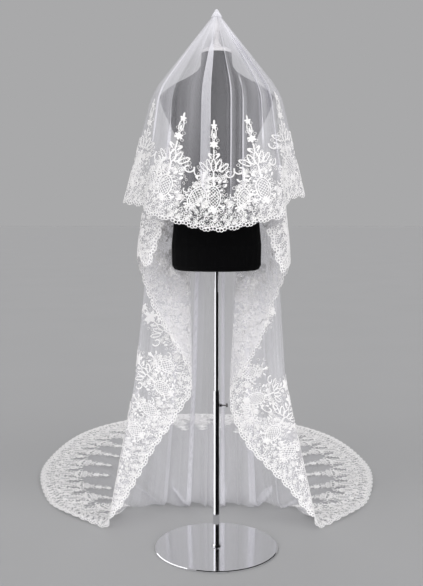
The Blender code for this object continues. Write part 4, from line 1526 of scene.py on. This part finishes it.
@dataclass
class Studio:
    """Floor, reflection cards, lights and camera."""

    camera_place: tuple[float, float, float] = (-0.015, -2.5, 1.0338)
    camera_pitch: float = 84.484
    focal_pixels: float = 833.4
    frame_height: float = 586.0
    sensor: float = 36.0
    backdrop: str = "#A9A9AA"
    floor_reach: float = 60.0
    light_angle: float = 50.0
    card_reach: float = 0.24
    card_low: float = 0.02
    card_height: float = 0.9
    card_columns: int = 25

    def build(self) -> None:
        """Builds the studio round the part."""
        self.add_camera()
        self.add_floor()
        self.add_card("white_card", (36.0, 92.0), "#FFFFFF", 1.0)
        self.add_card("black_card", (-100.0, 28.0), "#050505", 0.0)
        self.add_light("key", 38.0, 24.0, 1.3)
        self.add_light("fill", -38.0, 24.0, 1.65)
        self.add_light("back", 170.0, 35.0, 0.4)
        world = bpy.data.worlds.new("Studio")
        bpy.context.scene.world = world
        world.use_nodes = True
        background = world.node_tree.nodes["Background"]
        background.inputs["Color"].default_value = linear(self.backdrop)

    def add_camera(self) -> None:
        """Makes the camera at the photograph's viewpoint."""
        camera = bpy.data.cameras.new("Camera")
        camera.sensor_width = self.sensor
        camera.lens = self.focal_pixels / self.frame_height * self.sensor
        view = bpy.data.objects.new("Camera", camera)
        view.location = self.camera_place
        view.rotation_euler = (math.radians(self.camera_pitch), 0.0, 0.0)
        bpy.context.scene.collection.objects.link(view)
        bpy.context.scene.camera = view

    def add_floor(self) -> None:
        """A level floor that reaches to the horizon."""
        reach = self.floor_reach
        corners = [(x, y, 0.0) for x, y in ((-reach, -reach), (reach, -reach), (reach, reach),
                                            (-reach, reach))]
        link_mesh("studio_floor", np.array(corners), [(0, 1, 2, 3)],
                           StudioPaper().make())

    def add_card(self, name: str, arc: tuple[float, float], colour: str, glow: float) -> None:
        """Stands a curved card round the stand, out of view, that only the chrome reflects.

        Args:
            name: its name.
            arc: its first and last angle, from the camera's side towards -X, in degrees.
            colour: its colour.
            glow: how strongly it shines, as a lit white card does.
        """
        material, _, _ = shader_of(name, {
            "Base Color": linear(colour), "Roughness": 1.0, "Emission Color": linear(colour),
            "Emission Strength": glow})
        columns = self.card_columns
        angle = np.radians(np.linspace(*arc, columns))
        low = np.stack([-self.card_reach * np.sin(angle), -self.card_reach * np.cos(angle),
                        np.full(columns, self.card_low)], axis=1)
        points = np.concatenate([low, low + np.array([0.0, 0.0, self.card_height])])
        card = link_mesh(name, points, [(k, k + 1, k + 1 + columns, k + columns)
                                        for k in range(columns - 1)], material)
        card.visible_camera = card.visible_diffuse = card.visible_shadow = False
        card.visible_transmission = card.visible_volume_scatter = False

    def add_light(self, name: str, side: float, height: float, strength: float) -> None:
        """Adds one wide, even light, as from a large softbox.

        Args:
            name: its name.
            side: where it stands, from the camera's side towards -X, in degrees.
            height: its height over the horizon, in degrees.
            strength: its strength in watts per square metre.
        """
        light = bpy.data.lights.new(name, "SUN")
        light.angle = math.radians(self.light_angle)
        light.energy = strength
        lamp = bpy.data.objects.new(name, light)
        lamp.visible_glossy = False
        turn, rise = math.radians(side), math.radians(height)
        towards = Vector((math.sin(turn) * math.cos(rise), math.cos(turn) * math.cos(rise),
                          -math.sin(rise)))
        lamp.rotation_euler = towards.to_track_quat("-Z", "Y").to_euler()
        bpy.context.scene.collection.objects.link(lamp)


def main() -> None:
    """Builds the studio, the dress form's finishes and the veil."""
    logging.basicConfig(level=logging.INFO, format="%(name)s: %(message)s")
    bpy.context.scene.cycles.transparent_max_bounces = 32
    bpy.context.scene.view_settings.view_transform = "Standard"
    Studio().build()
    DressForm().dress(frame["nodes"])
    for piece in Veil().build():
        LOG.info("%s: %d faces", piece.name, len(piece.data.polygons))


if __name__ == "__main__":
    main()
